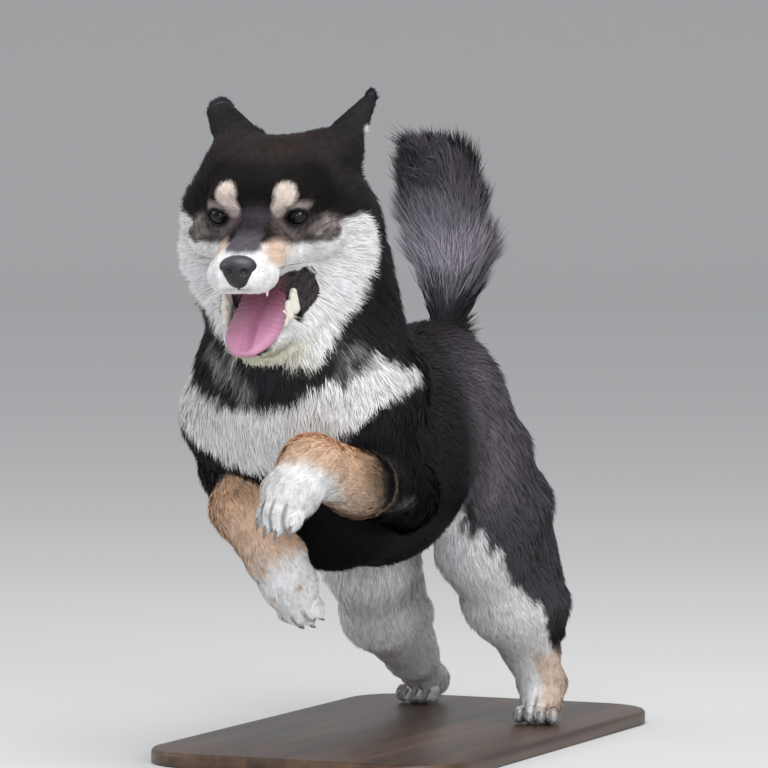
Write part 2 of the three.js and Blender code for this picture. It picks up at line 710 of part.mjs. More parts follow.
takeTorso("rump", COAT.black, plane(V(0, 74, 0), Y));
add("belly", torso, COAT.black);

// The display base
function baseSlab() {
  const r = BASE_CORNER - BASE_BEVEL;
  const w = BASE_WIDTH / 2 - BASE_CORNER;
  const [front, rear] = [BASE_FRONT + BASE_CORNER, BASE_REAR - BASE_CORNER];
  const outline = new THREE.Shape();
  outline.absarc(w, front, r, -Math.PI / 2, 0, false);
  outline.absarc(w, rear, r, 0, Math.PI / 2, false);
  outline.absarc(-w, rear, r, Math.PI / 2, Math.PI, false);
  outline.absarc(-w, front, r, Math.PI, 1.5 * Math.PI, false);
  const slab = new THREE.ExtrudeGeometry(outline, {
    depth: BASE_THICK - 2 * BASE_BEVEL,
    bevelThickness: BASE_BEVEL,
    bevelSize: BASE_BEVEL,
    bevelSegments: 1,
    curveSegments: 5,
  });
  return slab.translate(0, 0, BASE_BEVEL);
}
add("stand_base", solidOf(baseSlab()), COAT.wood, 0.5);

export default model;
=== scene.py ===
# A black and tan shiba inu bounding on its hind feet, on a flat display base.
# The skin is one surface, found from the same rounded forms as the solids and drawn in by the coat's depth.
# The coat is tufts of mesh that grow from it. Lengths in this file are millimetres until a mesh is made.
import math

import bpy
import numpy as np
from mathutils import Matrix, Vector
from mathutils.bvhtree import BVHTree


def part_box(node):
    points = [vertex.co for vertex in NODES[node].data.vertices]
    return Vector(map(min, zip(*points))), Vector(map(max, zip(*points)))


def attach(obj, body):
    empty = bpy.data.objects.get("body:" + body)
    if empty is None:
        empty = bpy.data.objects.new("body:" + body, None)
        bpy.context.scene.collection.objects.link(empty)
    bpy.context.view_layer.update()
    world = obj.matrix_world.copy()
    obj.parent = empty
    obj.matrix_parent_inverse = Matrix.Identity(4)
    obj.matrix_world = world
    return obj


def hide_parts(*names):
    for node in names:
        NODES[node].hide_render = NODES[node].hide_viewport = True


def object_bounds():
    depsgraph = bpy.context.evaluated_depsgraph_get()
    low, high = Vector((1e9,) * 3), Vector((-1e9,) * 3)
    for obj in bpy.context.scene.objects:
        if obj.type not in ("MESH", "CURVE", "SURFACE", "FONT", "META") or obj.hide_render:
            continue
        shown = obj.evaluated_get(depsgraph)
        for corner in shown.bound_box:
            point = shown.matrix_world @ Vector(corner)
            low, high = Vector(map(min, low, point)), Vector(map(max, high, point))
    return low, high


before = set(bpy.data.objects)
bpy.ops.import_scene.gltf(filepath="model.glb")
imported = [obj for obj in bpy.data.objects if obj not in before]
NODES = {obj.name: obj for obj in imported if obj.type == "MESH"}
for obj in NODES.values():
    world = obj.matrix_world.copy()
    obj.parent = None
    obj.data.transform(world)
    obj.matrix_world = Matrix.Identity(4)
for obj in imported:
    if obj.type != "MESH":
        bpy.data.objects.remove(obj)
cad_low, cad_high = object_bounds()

rng = np.random.default_rng(11)
LEFT, RIGHT = 1, -1
X, _, Z = np.eye(3)
FLOOR = 12.0  # the base's top

# Camera: life size, about four metres off, heading 24 degrees round to the dog's left, its place in metres
HEADING, PITCH = math.radians(24.0), math.radians(2.9613)
CAMERA_PLACE, LENS = (1.7009, -3.8065, 0.5106), 243.75


def look_from(place, heading, pitch, lens):
    """Makes the scene's camera at a place, looking level but for its pitch."""
    right = np.array([math.cos(heading), math.sin(heading), 0])
    level = np.array([-math.sin(heading), math.cos(heading), 0])
    ahead = level * math.cos(pitch) - Z * math.sin(pitch)
    up = np.cross(right, ahead)
    data = bpy.data.cameras.new("camera")
    data.sensor_width, data.lens = 36, lens
    data.clip_start, data.clip_end = 0.1, 100
    camera = bpy.data.objects.new("camera", data)
    bpy.context.collection.objects.link(camera)
    turn = np.eye(4)
    turn[:3, 0], turn[:3, 1], turn[:3, 2], turn[:3, 3] = right, up, -ahead, place
    camera.matrix_world = Matrix(turn.tolist())
    bpy.context.scene.camera = camera


look_from(CAMERA_PLACE, HEADING, PITCH, LENS)


# Rounded forms, each a distance over an array of points
class Form:
    """A distance, the box that the form lies in, and the coat that grows on it with the way it lies."""

    def __init__(self, at, low, high, coat=None, flow=None):
        self.at, self.low, self.high = at, np.asarray(low, float), np.asarray(high, float)
        self.coat, self.flow = coat, flow

    def near(self, low, high, reach):
        return (self.low - reach < high).all() and (self.high + reach > low).all()


def unit(v):
    v = np.asarray(v, float)
    return v / np.maximum(np.linalg.norm(v, axis=-1, keepdims=True), 1e-9)


def arrays(*values):
    return [np.asarray(value, float) for value in values]


def egg(middle, radii, axes=np.eye(3), coat=None, flow=None):
    middle, radii, axes = arrays(middle, radii, axes)

    def at(P):
        q = (P - middle) @ axes.T / radii
        near = np.linalg.norm(q, axis=1)
        slope = np.linalg.norm(q / radii, axis=1)
        return np.where(slope > 1e-9, near * (near - 1) / np.maximum(slope, 1e-9), -radii.min())

    return Form(at, middle - radii.max(), middle + radii.max(), coat, flow)


def tube(a, b, ra, rb, side=X, wide=1.0, coat=None, flow=None):
    """A rounded cone between two points, drawn out across its run by the number wide."""
    a, b, side = arrays(a, b, side)
    run = b - a
    more = 1 / wide - 1

    def at(P):
        p = P - a
        t = np.clip(p @ run / (run @ run), 0, 1)
        q = p - t[:, None] * run
        q = q + ((q @ side) * more)[:, None] * side
        return np.linalg.norm(q, axis=1) - (ra + (rb - ra) * t)

    reach = max(ra, rb) * max(1, wide)
    flow = unit(run) if flow is None else flow
    return Form(at, np.minimum(a, b) - reach, np.maximum(a, b) + reach, coat, flow)


def chain(knots, side=X, wide=1.0, coat=None, flow=None):
    return [tube(p[:3], q[:3], p[3], q[3], side, wide, coat, flow) for p, q in zip(knots, knots[1:])]


NEAR = 12  # a form counts at points up to this far outside its box
FAR = 1e3


def within(P, low, high):
    """Which points lie in a box."""
    return ((P > low) & (P < high)).all(1)


def rounding(d, e, k):
    """How much the corner between two distances is rounded over a width k."""
    h = np.maximum(k - np.abs(d - e), 0) / k
    return h * h * k * 0.25


def joined(k, *forms):
    """Forms joined, with the corners between them filled over a width k."""

    def at(P):
        d = np.full(len(P), FAR)
        low, high = P.min(0), P.max(0)
        for f in forms:
            if not f.near(low, high, k + NEAR):
                continue
            m = within(P, f.low - k - NEAR, f.high + k + NEAR)
            if m.any():
                e = f.at(P[m])
                d[m] = np.minimum(d[m], e) - rounding(d[m], e, k)
        return d

    return Form(at, np.min([f.low for f in forms], 0), np.max([f.high for f in forms], 0))


def scooped(k, form, *tools):
    """A form with others taken out of it, with the edges eased over a width k."""

    def at(P):
        d = form.at(P)
        low, high = P.min(0), P.max(0)
        for tool in tools:
            if tool.near(low, high, k + NEAR):
                e = -tool.at(P)
                d = np.maximum(d, e) + rounding(d, e, k)
        return d

    return Form(at, form.low, form.high)


def least(forms, P):
    """Distance to the nearest of the forms."""
    return np.stack([f.at(P) for f in forms], 1).min(1)


BLOCK = 16  # grid points along a block
SKIP, SKIP_MORE = 1.7, 25  # a block is skipped where the surface is this many half sizes and more off


def netted(form, low, high, cell):
    """Corners and four-sided faces of a form's surface, found on a grid of cubes and pulled onto the form."""
    low, high = arrays(low, high)
    n = np.ceil((high - low) / cell).astype(int) + 1
    value = np.full(n, FAR, np.float32)
    axes = [low[a] + cell * np.arange(n[a]) for a in range(3)]
    for i in range(0, n[0], BLOCK):
        for j in range(0, n[1], BLOCK):
            for k in range(0, n[2], BLOCK):
                block = np.s_[i : i + BLOCK, j : j + BLOCK, k : k + BLOCK]
                x, y, z = (axis[part] for axis, part in zip(axes, block))
                middle = np.array([[x.mean(), y.mean(), z.mean()]])
                half = np.linalg.norm([np.ptp(x), np.ptp(y), np.ptp(z)]) / 2
                d = form.at(middle)[0]
                if abs(d) > SKIP * half + SKIP_MORE:
                    value[block] = d
                    continue
                P = np.stack(np.meshgrid(x, y, z, indexing="ij"), -1)
                value[block] = form.at(P.reshape(-1, 3)).reshape(P.shape[:3])
    rim = np.ones(n, bool)
    rim[1:-1, 1:-1, 1:-1] = False
    value[rim] = np.maximum(value[rim], 0.3 * cell)
    inside = value < 0
    corners = [(c & 1, (c >> 1) & 1, c >> 2) for c in range(8)]
    part = lambda A, c: A[c[0] : n[0] - 1 + c[0], c[1] : n[1] - 1 + c[1], c[2] : n[2] - 1 + c[2]]
    count = sum(part(inside, c).astype(np.int8) for c in corners)
    cells = np.argwhere((count > 0) & (count < 8))
    number = np.full(n, -1, np.int64)
    number[tuple(cells.T)] = np.arange(len(cells))
    total, crossings = np.zeros((len(cells), 3)), np.zeros(len(cells))
    for a in range(8):
        for bit in (1, 2, 4):
            if a & bit:
                continue
            ca, cb = np.array(corners[a]), np.array(corners[a | bit])
            va, vb = value[tuple((cells + ca).T)], value[tuple((cells + cb).T)]
            m = (va < 0) != (vb < 0)
            t = va[m] / (va[m] - vb[m])
            total[m] += ca * (1 - t[:, None]) + cb * t[:, None]
            crossings[m] += 1
    P = low + cell * (cells + total / crossings[:, None])
    P = pulled(form, P, 0.45 * cell)
    faces, ways = [], np.eye(3, dtype=int)
    for axis in range(3):
        step, u, w = ways[axis], ways[(axis + 1) % 3], ways[(axis + 2) % 3]
        this = inside[tuple(slice(0, n[a] - step[a]) for a in range(3))]
        following = inside[tuple(slice(step[a], None) for a in range(3))]
        grid = np.argwhere(this != following)
        grid = grid[((grid - u - w) >= 0).all(1)]
        quad = np.stack([number[tuple((grid - s).T)] for s in (u + w, w, 0 * u, u)], 1)
        out = inside[tuple(grid.T)]
        faces.append(np.where(out[:, None], quad, quad[:, ::-1]))
    return P, np.concatenate(faces)


def slope_at(form, P, e=0.4):
    return np.stack([form.at(P + e * a) - form.at(P - e * a) for a in np.eye(3)], 1) / (2 * e)


def pulled(form, P, most):
    """Points moved onto the form's surface, each by no more than the most."""
    Q = P.copy()
    for _ in range(2):
        d, g = form.at(Q), slope_at(form, Q)
        Q = Q - (d / np.maximum((g * g).sum(1), 0.05))[:, None] * g
    move = Q - P
    far = np.linalg.norm(move, axis=1, keepdims=True)
    return P + move * np.minimum(1, most / np.maximum(far, 1e-9))


# The dog's forms, at the coat's outside, with the coat that grows on each and the way it lies
HEAD_TURN, HEAD_DROP = math.radians(12), math.radians(9)
HEAD_ORIGIN = np.array([-2, -219, 433.6])
HEAD_LEFT = np.array([math.cos(HEAD_TURN), math.sin(HEAD_TURN), 0])
HEAD_BACK = np.cross(Z, HEAD_LEFT) * math.cos(HEAD_DROP) + Z * math.sin(HEAD_DROP)
HEAD_UP = np.cross(HEAD_LEFT, HEAD_BACK)
HEAD_AXES = np.array([HEAD_LEFT, HEAD_BACK, HEAD_UP])


def head_point(x, y, z):
    return HEAD_ORIGIN + np.array([x, y, z]) @ HEAD_AXES


def head_coords(P):
    return (P - HEAD_ORIGIN) @ HEAD_AXES.T


# Each coat: length, lift in degrees, width, depth of the skin below the outside, tufts per square millimetre
COATS = {
    "muzzle": (4.5, 13, 0.58, 1.0, 2.96),
    "face": (7, 13, 0.64, 1.8, 2.54),
    "skull": (11, 13, 0.73, 2.8, 1.76),
    "cheek": (19, 18, 0.8, 6.2, 1.41),
    "ear": (6, 12, 0.58, 1.1, 2.4),
    "jaw": (5.5, 13, 0.58, 1.2, 2.54),
    "neck": (22, 15, 0.94, 6.0, 0.85),
    "breast": (22, 15, 0.94, 6.0, 0.88),
    "flank": (20, 12, 0.99, 4.4, 0.67),
    "upper arm": (15, 13, 0.88, 3.6, 0.92),
    "forearm": (9, 12, 0.7, 2.0, 1.48),
    "paw": (5, 13, 0.64, 1.1, 2.26),
    "thigh": (15, 12, 0.88, 3.4, 0.81),
    "breech": (19, 13, 0.99, 4.6, 0.78),
    "hock": (9, 12, 0.7, 2.0, 1.41),
    "tail": (40, 21, 0.99, 12.5, 1.2),
}
DOWN = (0, 0.25, -1)

trunk = [
    egg((0, -92, 250), (78, 88, 98), coat="flank", flow=(0, 1, -0.7)),
    egg((-5, -150, 284), (76, 55, 62), coat="breast", flow=(0, 0.2, -1)),
    egg((0, -8, 244), (76, 108, 96), coat="flank", flow=(0, 1, -0.4)),
    egg((0, 78, 258), (60, 78, 78), coat="flank", flow=(0, 1, -0.45)),
    egg((0, 116, 264), (54, 64, 76), coat="flank", flow=(0, 0.8, -0.8)),
]
neck = [
    tube((-7, -118, 318), (-4, -130, 422), 84, 62, coat="neck", flow=(0, 0.5, -1)),
    tube((-8, -160, 306), head_point(0, 48, -62), 64, 44, coat="neck", flow=(0, 0.15, -1)),
    tube((0, -62, 300), (0, -100, 396), 46, 40, coat="neck", flow=(0, 0.9, -0.7)),
]


def head_egg(x, y, z, radii, coat):
    return egg(head_point(x, y, z), radii, HEAD_AXES, coat)


def head_tube(a, b, ra, rb, wide, coat):
    return tube(head_point(*a), head_point(*b), ra, rb, HEAD_LEFT, wide, coat, flow=(0, 0, 0))


EAR_THIN = 0.6  # an ear's width toward its hollow, for its width across that
skull = [
    head_egg(0, 52, 2, (58, 55, 52), "skull"),
    head_egg(40, 82, 34, (24, 24, 20), "skull"),
    head_egg(-33, 80, 34, (20, 24, 20), "skull"),
    head_egg(-38, 68, 20, (22, 26, 22), "skull"),
    head_egg(0, 14, 12, (38, 22, 20), "face"),
    head_tube((0, 6, -27), (0, -57, -31), 25, 16.5, 1.36, "muzzle"),
    head_tube((0, 0, -16), (0, -50, -25), 15, 10, 1.1, "muzzle"),
]
for side in (LEFT, RIGHT):
    skull += [
        head_egg(side * 38, 26, -20, (24, 26, 18), "face"),
        head_egg(side * 44, 54, -34, (31, 29, 40), "cheek"),
        head_egg(side * 46, 60, -6, (27, 30, 30), "cheek"),
        head_egg(side * 33, 46, -62, (29, 28, 30), "cheek"),
        head_egg(side * 24, 72, 30, (25, 30, 22), "skull"),
        head_egg(side * 21, 3, 14, (11, 8, 8), "face"),
        head_egg(side * 13, -54, -37, (13, 15, 11), "muzzle"),
    ]
jaw = [
    head_tube((0, 28, -71), (0, -20, -90), 24, 13, 1.7, "jaw"),
    head_tube((0, -20, -90), (0, -49, -92.5), 13, 9, 1.8, "jaw"),
]

# Each ear: root, tip, radii there, and the way that its hollow faces, to the left and back
EARS = (
    ((42, 90, 34), (63, 131, 69), (24, 8), (0.6, 0.8)),
    ((-31, 88, 36), (-56, 125, 59), (23, 12.5), (-0.6, 0.8)),
)
HOLLOW_OFF, HOLLOW_RADII = (22, 8), (15, 5)
ears, pinnae, hollows = [], [], []
for root, tip, radii, flat in EARS:
    root, tip = head_point(*root), head_point(*tip)
    flat = unit(HEAD_LEFT * flat[0] + HEAD_BACK * flat[1])
    hollow = tube(root + HOLLOW_OFF[0] * flat, tip + HOLLOW_OFF[1] * flat, *HOLLOW_RADII)
    cone = tube(root, tip, *radii, flat, EAR_THIN, "ear")
    pinnae.append(cone)
    hollows.append(hollow)
    ears.append(scooped(4, cone, hollow))


LIMB_WIDE = 1.12  # a limb's width for its depth
TOE_RADII, PAD_RADII = (5.6, 11, 8), (13, 10, 7)
KNEE_BACK = 108  # how far back the left hind leg's knee lies, which the marks' edges are measured for


class Leg:
    """A leg from its knots of x, y, z and radius. A hind foot stands level, and a forepaw hangs."""

    def __init__(self, name, side, stands, upper, lower, rear=(), heel=(), reach=9, spread=9.6):
        self.name, self.side, self.stands = name, side, stands
        start, tip = (np.array(p[:3], float) for p in lower[-2:])
        self.tip, ahead = tip, tip - start
        if stands:
            ahead[2] = 0
        self.along = unit(ahead)
        self.across = unit(X - self.along * self.along[0])
        self.back = np.cross(self.along, self.across)
        axes = np.array([self.across, self.along, self.back])
        self.toes = []
        for place in (-1.5, -0.5, 0.5, 1.5):
            inner = 1 if abs(place) < 1 else 0.35
            at = tip + place * spread * self.across + reach * inner * self.along + (inner - 1) * self.back
            self.toes.append(at)
        kind = ("thigh", "hock") if stands else ("upper arm", "forearm")
        self.upper = chain(upper, coat=kind[0]) + chain(rear, coat="breech", flow=unit(DOWN))
        self.lower = chain(lower[:-1], self.across, LIMB_WIDE, kind[1])
        self.lower += chain(lower[-2:], self.across, LIMB_WIDE, "paw") + chain(heel, coat="hock")
        if not stands:
            pad = tip - 6 * self.along - 9 * self.back
            self.lower.append(egg(pad, PAD_RADII, axes, "paw", self.along))
        self.toe_forms = [egg(at, TOE_RADII, axes, "paw", self.along) for at in self.toes]
        low_forms = list(self.lower)
        self.lower += self.toe_forms
        self.forms = self.upper + self.lower
        self.low = np.min([f.low for f in self.forms], 0)
        self.high = np.max([f.high for f in self.forms], 0)
        if stands:
            levels, outs, backs = zip(*sorted((k[2], k[0] * side, k[1]) for k in upper[1:] + lower[1:4]))
            self.outer_axis, self.heel_line = (levels, outs), (levels, backs)
            self.back_shift = upper[-1][1] - KNEE_BACK
        upper_form = joined(10, *self.upper)
        self.free = joined(3.5, joined(7, *low_forms), *self.toe_forms)
        self.body = joined(12, upper_form, self.free) if stands else upper_form


LEGS = [
    Leg(
        "fore_left", LEFT, False,
        upper=[(42, -96, 300, 40), (52, -148, 276, 38), (75, -125, 218, 29), (70, -190, 229, 26)],
        lower=[(70, -190, 229, 26), (59, -248, 246, 24), (50, -271, 226, 20), (47, -281, 213, 16)],
    ),
    Leg(
        "fore_right", RIGHT, False,
        upper=[(-44, -96, 300, 40), (-56, -148, 276, 40), (-66, -118, 236, 31), (-40, -165, 206, 25)],
        lower=[(-40, -165, 206, 25), (-4, -184, 170, 21.5), (6, -181, 150, 20), (9, -170, 132, 16)],
        spread=10,
    ),
    Leg(
        "hind_left", LEFT, True,
        upper=[(35, 112, 240, 38), (60, 80, 165, 42), (70, 108, 115, 35)],
        lower=[
            (70, 108, 115, 35), (75, 140, 74, 22), (84, 145, 44, 18), (87, 137, 29, 15),
            (90, 120, 21, 11),
        ],
        rear=[(28, 118, 286, 26), (46, 134, 240, 28), (62, 138, 194, 30), (78, 160, 110, 22)],
        heel=[(78, 160, 110, 20), (81, 168, 88, 15)],
        reach=7, spread=9.4,
    ),
    Leg(
        "hind_right", RIGHT, True,
        upper=[(-35, 112, 240, 38), (-47, 92, 146, 40), (-54, 128, 98, 31)],
        lower=[
            (-54, 128, 98, 31), (-52, 186, 58, 21), (-56, 216, 41, 16), (-59, 240, 31, 15),
            (-60, 224, 21, 11),
        ],
        rear=[(-28, 118, 286, 26), (-44, 134, 236, 28), (-58, 138, 180, 29), (-52, 180, 95, 19)],
        heel=[(-52, 180, 95, 18), (-50, 204, 70, 13)],
        reach=7, spread=9.2,
    ),
]
TAIL = [
    (0, 138, 326, 24), (0, 147, 362, 24), (0, 151, 391, 32), (0, 137, 423, 34),
    (0, 127, 449, 32), (0, 108, 463, 23), (0, 88, 473, 14), (0, 56, 485, 3.5),
]
tail = chain(TAIL, coat="tail")

# The mouth, in head coordinates: the lips' height at their front, the corner's place, and the jaw's drop
LIP_LEVEL, LIP_FRONT, LIP_SLOPE = -51, -50, 0.115
MOUTH_END, MOUTH_HALF, GAPE, GAPE_POWER = 18, 48, 10.6, 0.35
GUM_HIGH, GUM_HALF = 9, 22


def soft(low, high, x):
    """A smooth step from 0 at one value to 1 at another."""
    t = np.clip((x - low) / (high - low), 0, 1)
    return t * t * (3 - 2 * t)


def mouth_at(P):
    """The open mouth, between the upper lips' level and the lower jaw, whose gums stand above its lips."""
    a, b, c = head_coords(P).T
    level = LIP_LEVEL + LIP_SLOPE * (b - LIP_FRONT)
    ahead = MOUTH_END - b
    far = np.maximum(ahead, 1e-6)
    gum = GUM_HIGH * soft(GUM_HALF + 8, GUM_HALF, np.abs(a)) * soft(-45, -25, b)
    drop = np.where(ahead > 0, GAPE * far**GAPE_POWER - gum, 2 * ahead)
    steep = np.where(ahead > 0, np.minimum(2, GAPE * GAPE_POWER * far ** (GAPE_POWER - 1)), 2)
    under = (level - drop - c) / np.hypot(1, steep)
    side = (np.hypot(a / MOUTH_HALF, (b - 26) / 100) - 1) * MOUTH_HALF
    return np.maximum(np.maximum(c - level, under), side)


MOUTH_MIDDLE, MOUTH_REACH = head_point(0, -30, -70), 110
mouth = Form(mouth_at, MOUTH_MIDDLE - MOUTH_REACH, MOUTH_MIDDLE + MOUTH_REACH)
skull_form = scooped(4, joined(8, joined(12, *skull), *ears, joined(8, *jaw)), mouth)
torso = joined(16, joined(30, *trunk, *neck), *[leg.body for leg in LEGS])
outside = joined(8, joined(14, torso, skull_form, joined(12, *tail)), LEGS[0].free, LEGS[1].free)
ALL_FORMS = trunk + neck + skull + jaw + pinnae + tail + [f for leg in LEGS for f in leg.forms]


def coat_weights(P):
    """How much each form's coat counts at each point."""
    D = np.stack([f.at(P) for f in ALL_FORMS], 1).astype(np.float32)
    return np.exp(-(D - D.min(1, keepdims=True)) / 7)


FIELDS = np.array([COATS[f.coat] for f in ALL_FORMS])
FLOWS = np.array([unit(f.flow) if f.flow is not None else (0, 0, 0) for f in ALL_FORMS])


def coat_depth(P):
    w = coat_weights(P)
    return (w @ FIELDS[:, 3]) / w.sum(1)


# The eyes' own frames: across the opening, up, and out along the axis, which turns a little outward
EYE_RADIUS, EYE_OUTWARD = 10.5, math.radians(10)
EYE_APART, EYE_BACK = 29.5, 8  # half the space between the eyes, and how far back they lie
LID_WIDE, LID_HIGH = 8.4, 5.6  # half the opening
EYES, EYE_AXES = {}, {}
for side in (LEFT, RIGHT):
    EYES[side] = head_point(side * EYE_APART, EYE_BACK, 0)
    out = HEAD_LEFT * side * math.sin(EYE_OUTWARD) - HEAD_BACK * math.cos(EYE_OUTWARD)
    across = unit(HEAD_LEFT - out * (out @ HEAD_LEFT))
    EYE_AXES[side] = np.array([across, HEAD_UP, out])

# Markings, shared by the skin and the coat, with painted light and shade among them
BLACK = np.array([0.0062, 0.006, 0.0065])
TOP_LIT_BLACK = np.array([0.028, 0.0235, 0.0275])
GREY = np.array([0.165, 0.148, 0.165])
MAUVE = np.array([0.50, 0.455, 0.52])
ASH = np.array([0.22, 0.215, 0.215])
WHITE = np.array([0.84, 0.825, 0.81])
BROW = np.array([0.76, 0.64, 0.56])
THROAT = np.array([0.50, 0.48, 0.36])
TAN = np.array([0.82, 0.53, 0.34])
DARK_TAN = np.array([0.17, 0.115, 0.075])
PALE_TAN = np.array([0.66, 0.48, 0.36])
SMUDGE = np.array([0.115, 0.092, 0.088])
SMUDGE_OUT = np.array([0.34, 0.29, 0.27])
BRIDGE = np.array([0.055, 0.047, 0.056])
LIP = np.array([0.012, 0.009, 0.010])
GUM = np.array([0.16, 0.055, 0.065])
LINING = np.array([0.026, 0.019, 0.022])

TURN = 6.28  # a wave's full turn
waves = [(unit(rng.normal(size=3)), rng.uniform(0, TURN)) for _ in range(8)]


def ripple(P, size):
    """Slow unevenness over the body, between about -1 and 1, with swells of about this size."""
    total = 0
    for i, (way, start) in enumerate(waves):
        total = total + np.sin(P @ way * (TURN / size * (0.7 + 0.15 * i)) + start + 1.3 * i)
    return total / 3.2


def blob(P, middle, radii, fade):
    """How much each point lies within a rounded spot, which fades over a share of its radii."""
    middle, radii = arrays(middle, radii)
    q = (P - middle) / radii
    return 1 - soft(1 - fade, 1 + fade, np.linalg.norm(q, axis=1))


def streak(P, a, b, radius, fade):
    """How much each point lies within a radius of the line between two points."""
    a, b = arrays(a, b)
    t = np.clip((P - a) @ (b - a) / ((b - a) @ (b - a)), 0, 1)
    away = np.linalg.norm(P - a - t[:, None] * (b - a), axis=1)
    return soft(radius + fade, radius - fade, away)


def tinted(color, to, share):
    return color + (to - color) * np.asarray(share)[:, None]


# The white cheek's upper edge over the head: place back from the eyes, and height
CHEEK_TOP = ((-60, -14), (-38, -15), (-15, -19), (8, -21), (27, -14), (38, -8), (55, -8), (74, -31))
# Its rear edge, the height down to which that is upright, and how far it runs forward per step down
CHEEK_REAR, CHEEK_CORNER, CHEEK_RAKE = 74, -31, 0.97
THROAT_END = -115

# Soft spots on the head: middle, radii and fade, over both halves of the face at once
CAP_SHEEN = (0, 44, 45), (44, 40, 20), 0.5
BELOW_EYE = (33, 0, -12), (21, 21, 9), 0.75
BEHIND_EYE = (47, 22, -11), (12, 16, 7.5), 0.65
BELOW_EYE_EDGE = (35, 2, -17.5), (15, 14, 2.5), 0.6
MUZZLE_TAN = (19.5, -33, -24), (10, 25, 10), 0.45
BESIDE_BRIDGE = (17, 2, -2), (8, 12, 12), 0.5
BROW_SPOT = (22, 0, 16), (8.6, 15, 8.8), 0.2
BROW_STALK = (17.5, -3, 7.5), (5, 12, 7), 0.35
ABOVE_EYE = (30, 1, 8.0), (11, 10, 3.4), 0.6
EYE_CORNER = (19, -2, 3.5), (6, 12, 3.5), 0.6
UNDER_NOSE = (0, -66, -46), (13, 10, 4), 0.5
# Boxes in head coordinates: the head's marks, the face's (over both halves at once) and the wet lips
HEAD_BOX = (-90, -FAR, -125), (90, 150, FAR)
FACE_BOX = (-1, -FAR, -45), (66, 60, 40)
LIPS_BOX = (-60, -FAR, -112), (60, 40, FAR)
# Whisker rows: the first dot's place, the step between dots and the step down to the next row
DOT_FIRST, DOT_STEP, DOT_ROW, DOT_RADII = (15.5, -62, -33.5), (0.8, 6.5, 0.5), 4.6, (1.6, 1.6, 0.9)

# Painted sheen on the rump, spots and streaks on the body, and the white band across the chest: height, half
# height and its wings' ends
RUMP_SHEEN = (60, 96, 262), (50, 62, 66), 0.6
RUMP_SHEEN_RIGHT = (-60, 96, 262), (50, 62, 66), 0.6
TAIL_SPOT = (-16, 150, 406), (42, 80, 42), 0.6
CHEST_BOX = (-FAR, -FAR, 215), (FAR, -60, 350)
BAND_LEVEL, BAND_HALF, WING_LEFT, WING_RIGHT = 262, 25, 164, 174
CHEST_STREAKS = (
    ((-52, -198, 332), (-36, -210, 318), 3),
    ((-36, -210, 318), (-9, -220, 299), 4.5),
    ((46, -182, 322), (56, -168, 332), 5),
    ((45, -190, 310), (66, -158, 318), 4),
)
EAR_FRINGE = (51, 93, 25), (63, 103, 46), 7, 2
ELBOW_FRINGE = (74, -215, 207), (96, -150, 214), 3, 5
LEG_MARGIN = 25  # how far around a leg its marks reach


def eye_coords(P, side):
    """Coordinates of an eye: across its opening, up, and out along its axis."""
    return (P - EYES[side]) @ EYE_AXES[side].T


def opening_at(P, side):
    """Distance outside the almond between an eye's lids, seen along the eye's axis."""
    across, up, out = eye_coords(P, side).T
    up = up + 0.8 - 0.08 * side * across
    arc = (LID_WIDE**2 + LID_HIGH**2) / (2 * LID_HIGH)
    rise = arc - LID_HIGH
    return np.maximum(np.hypot(across, up + rise), np.hypot(across, up - rise)) - arc


def head_marks(H, P, color, wobble):
    x, y, z = np.abs(H[:, 0]), H[:, 1], H[:, 2]
    F = np.stack([x, y, z], 1)
    # painted light: a brown sheen on the cap, and painted shade darkening the front of the head at eye
    # height, over the forehead and temples
    color = tinted(color, (0.030, 0.021, 0.019), 0.8 * blob(F, *CAP_SHEEN))
    color = tinted(color, (0.009, 0.0072, 0.0068), soft(52, 30, y) * soft(44, 30, z) * soft(-25, -15, z))
    top = np.interp(y, *np.transpose(CHEEK_TOP)) + 1.2 * wobble
    rear = CHEEK_REAR - CHEEK_RAKE * np.maximum(CHEEK_CORNER - z, 0) - 7 * soft(40, 10, x) + 2.0 * wobble
    white = soft(3, -3, z - top) * soft(3, -3, y - rear)
    white = white * soft(THROAT_END - 3, THROAT_END + 3, z + 1.5 * wobble)
    color = tinted(color, WHITE, white)
    # painted shade: the white under the jaw is dulled to an olive cream, with painted green light thrown up
    # from the ground
    color = tinted(color, THROAT, white * soft(-88, -102, z) * soft(52, 20, x) * 0.9)
    face = within(F, *FACE_BOX)
    if face.any():
        color[face] = face_marks(P[face], F[face], color[face], wobble[face])
    return color


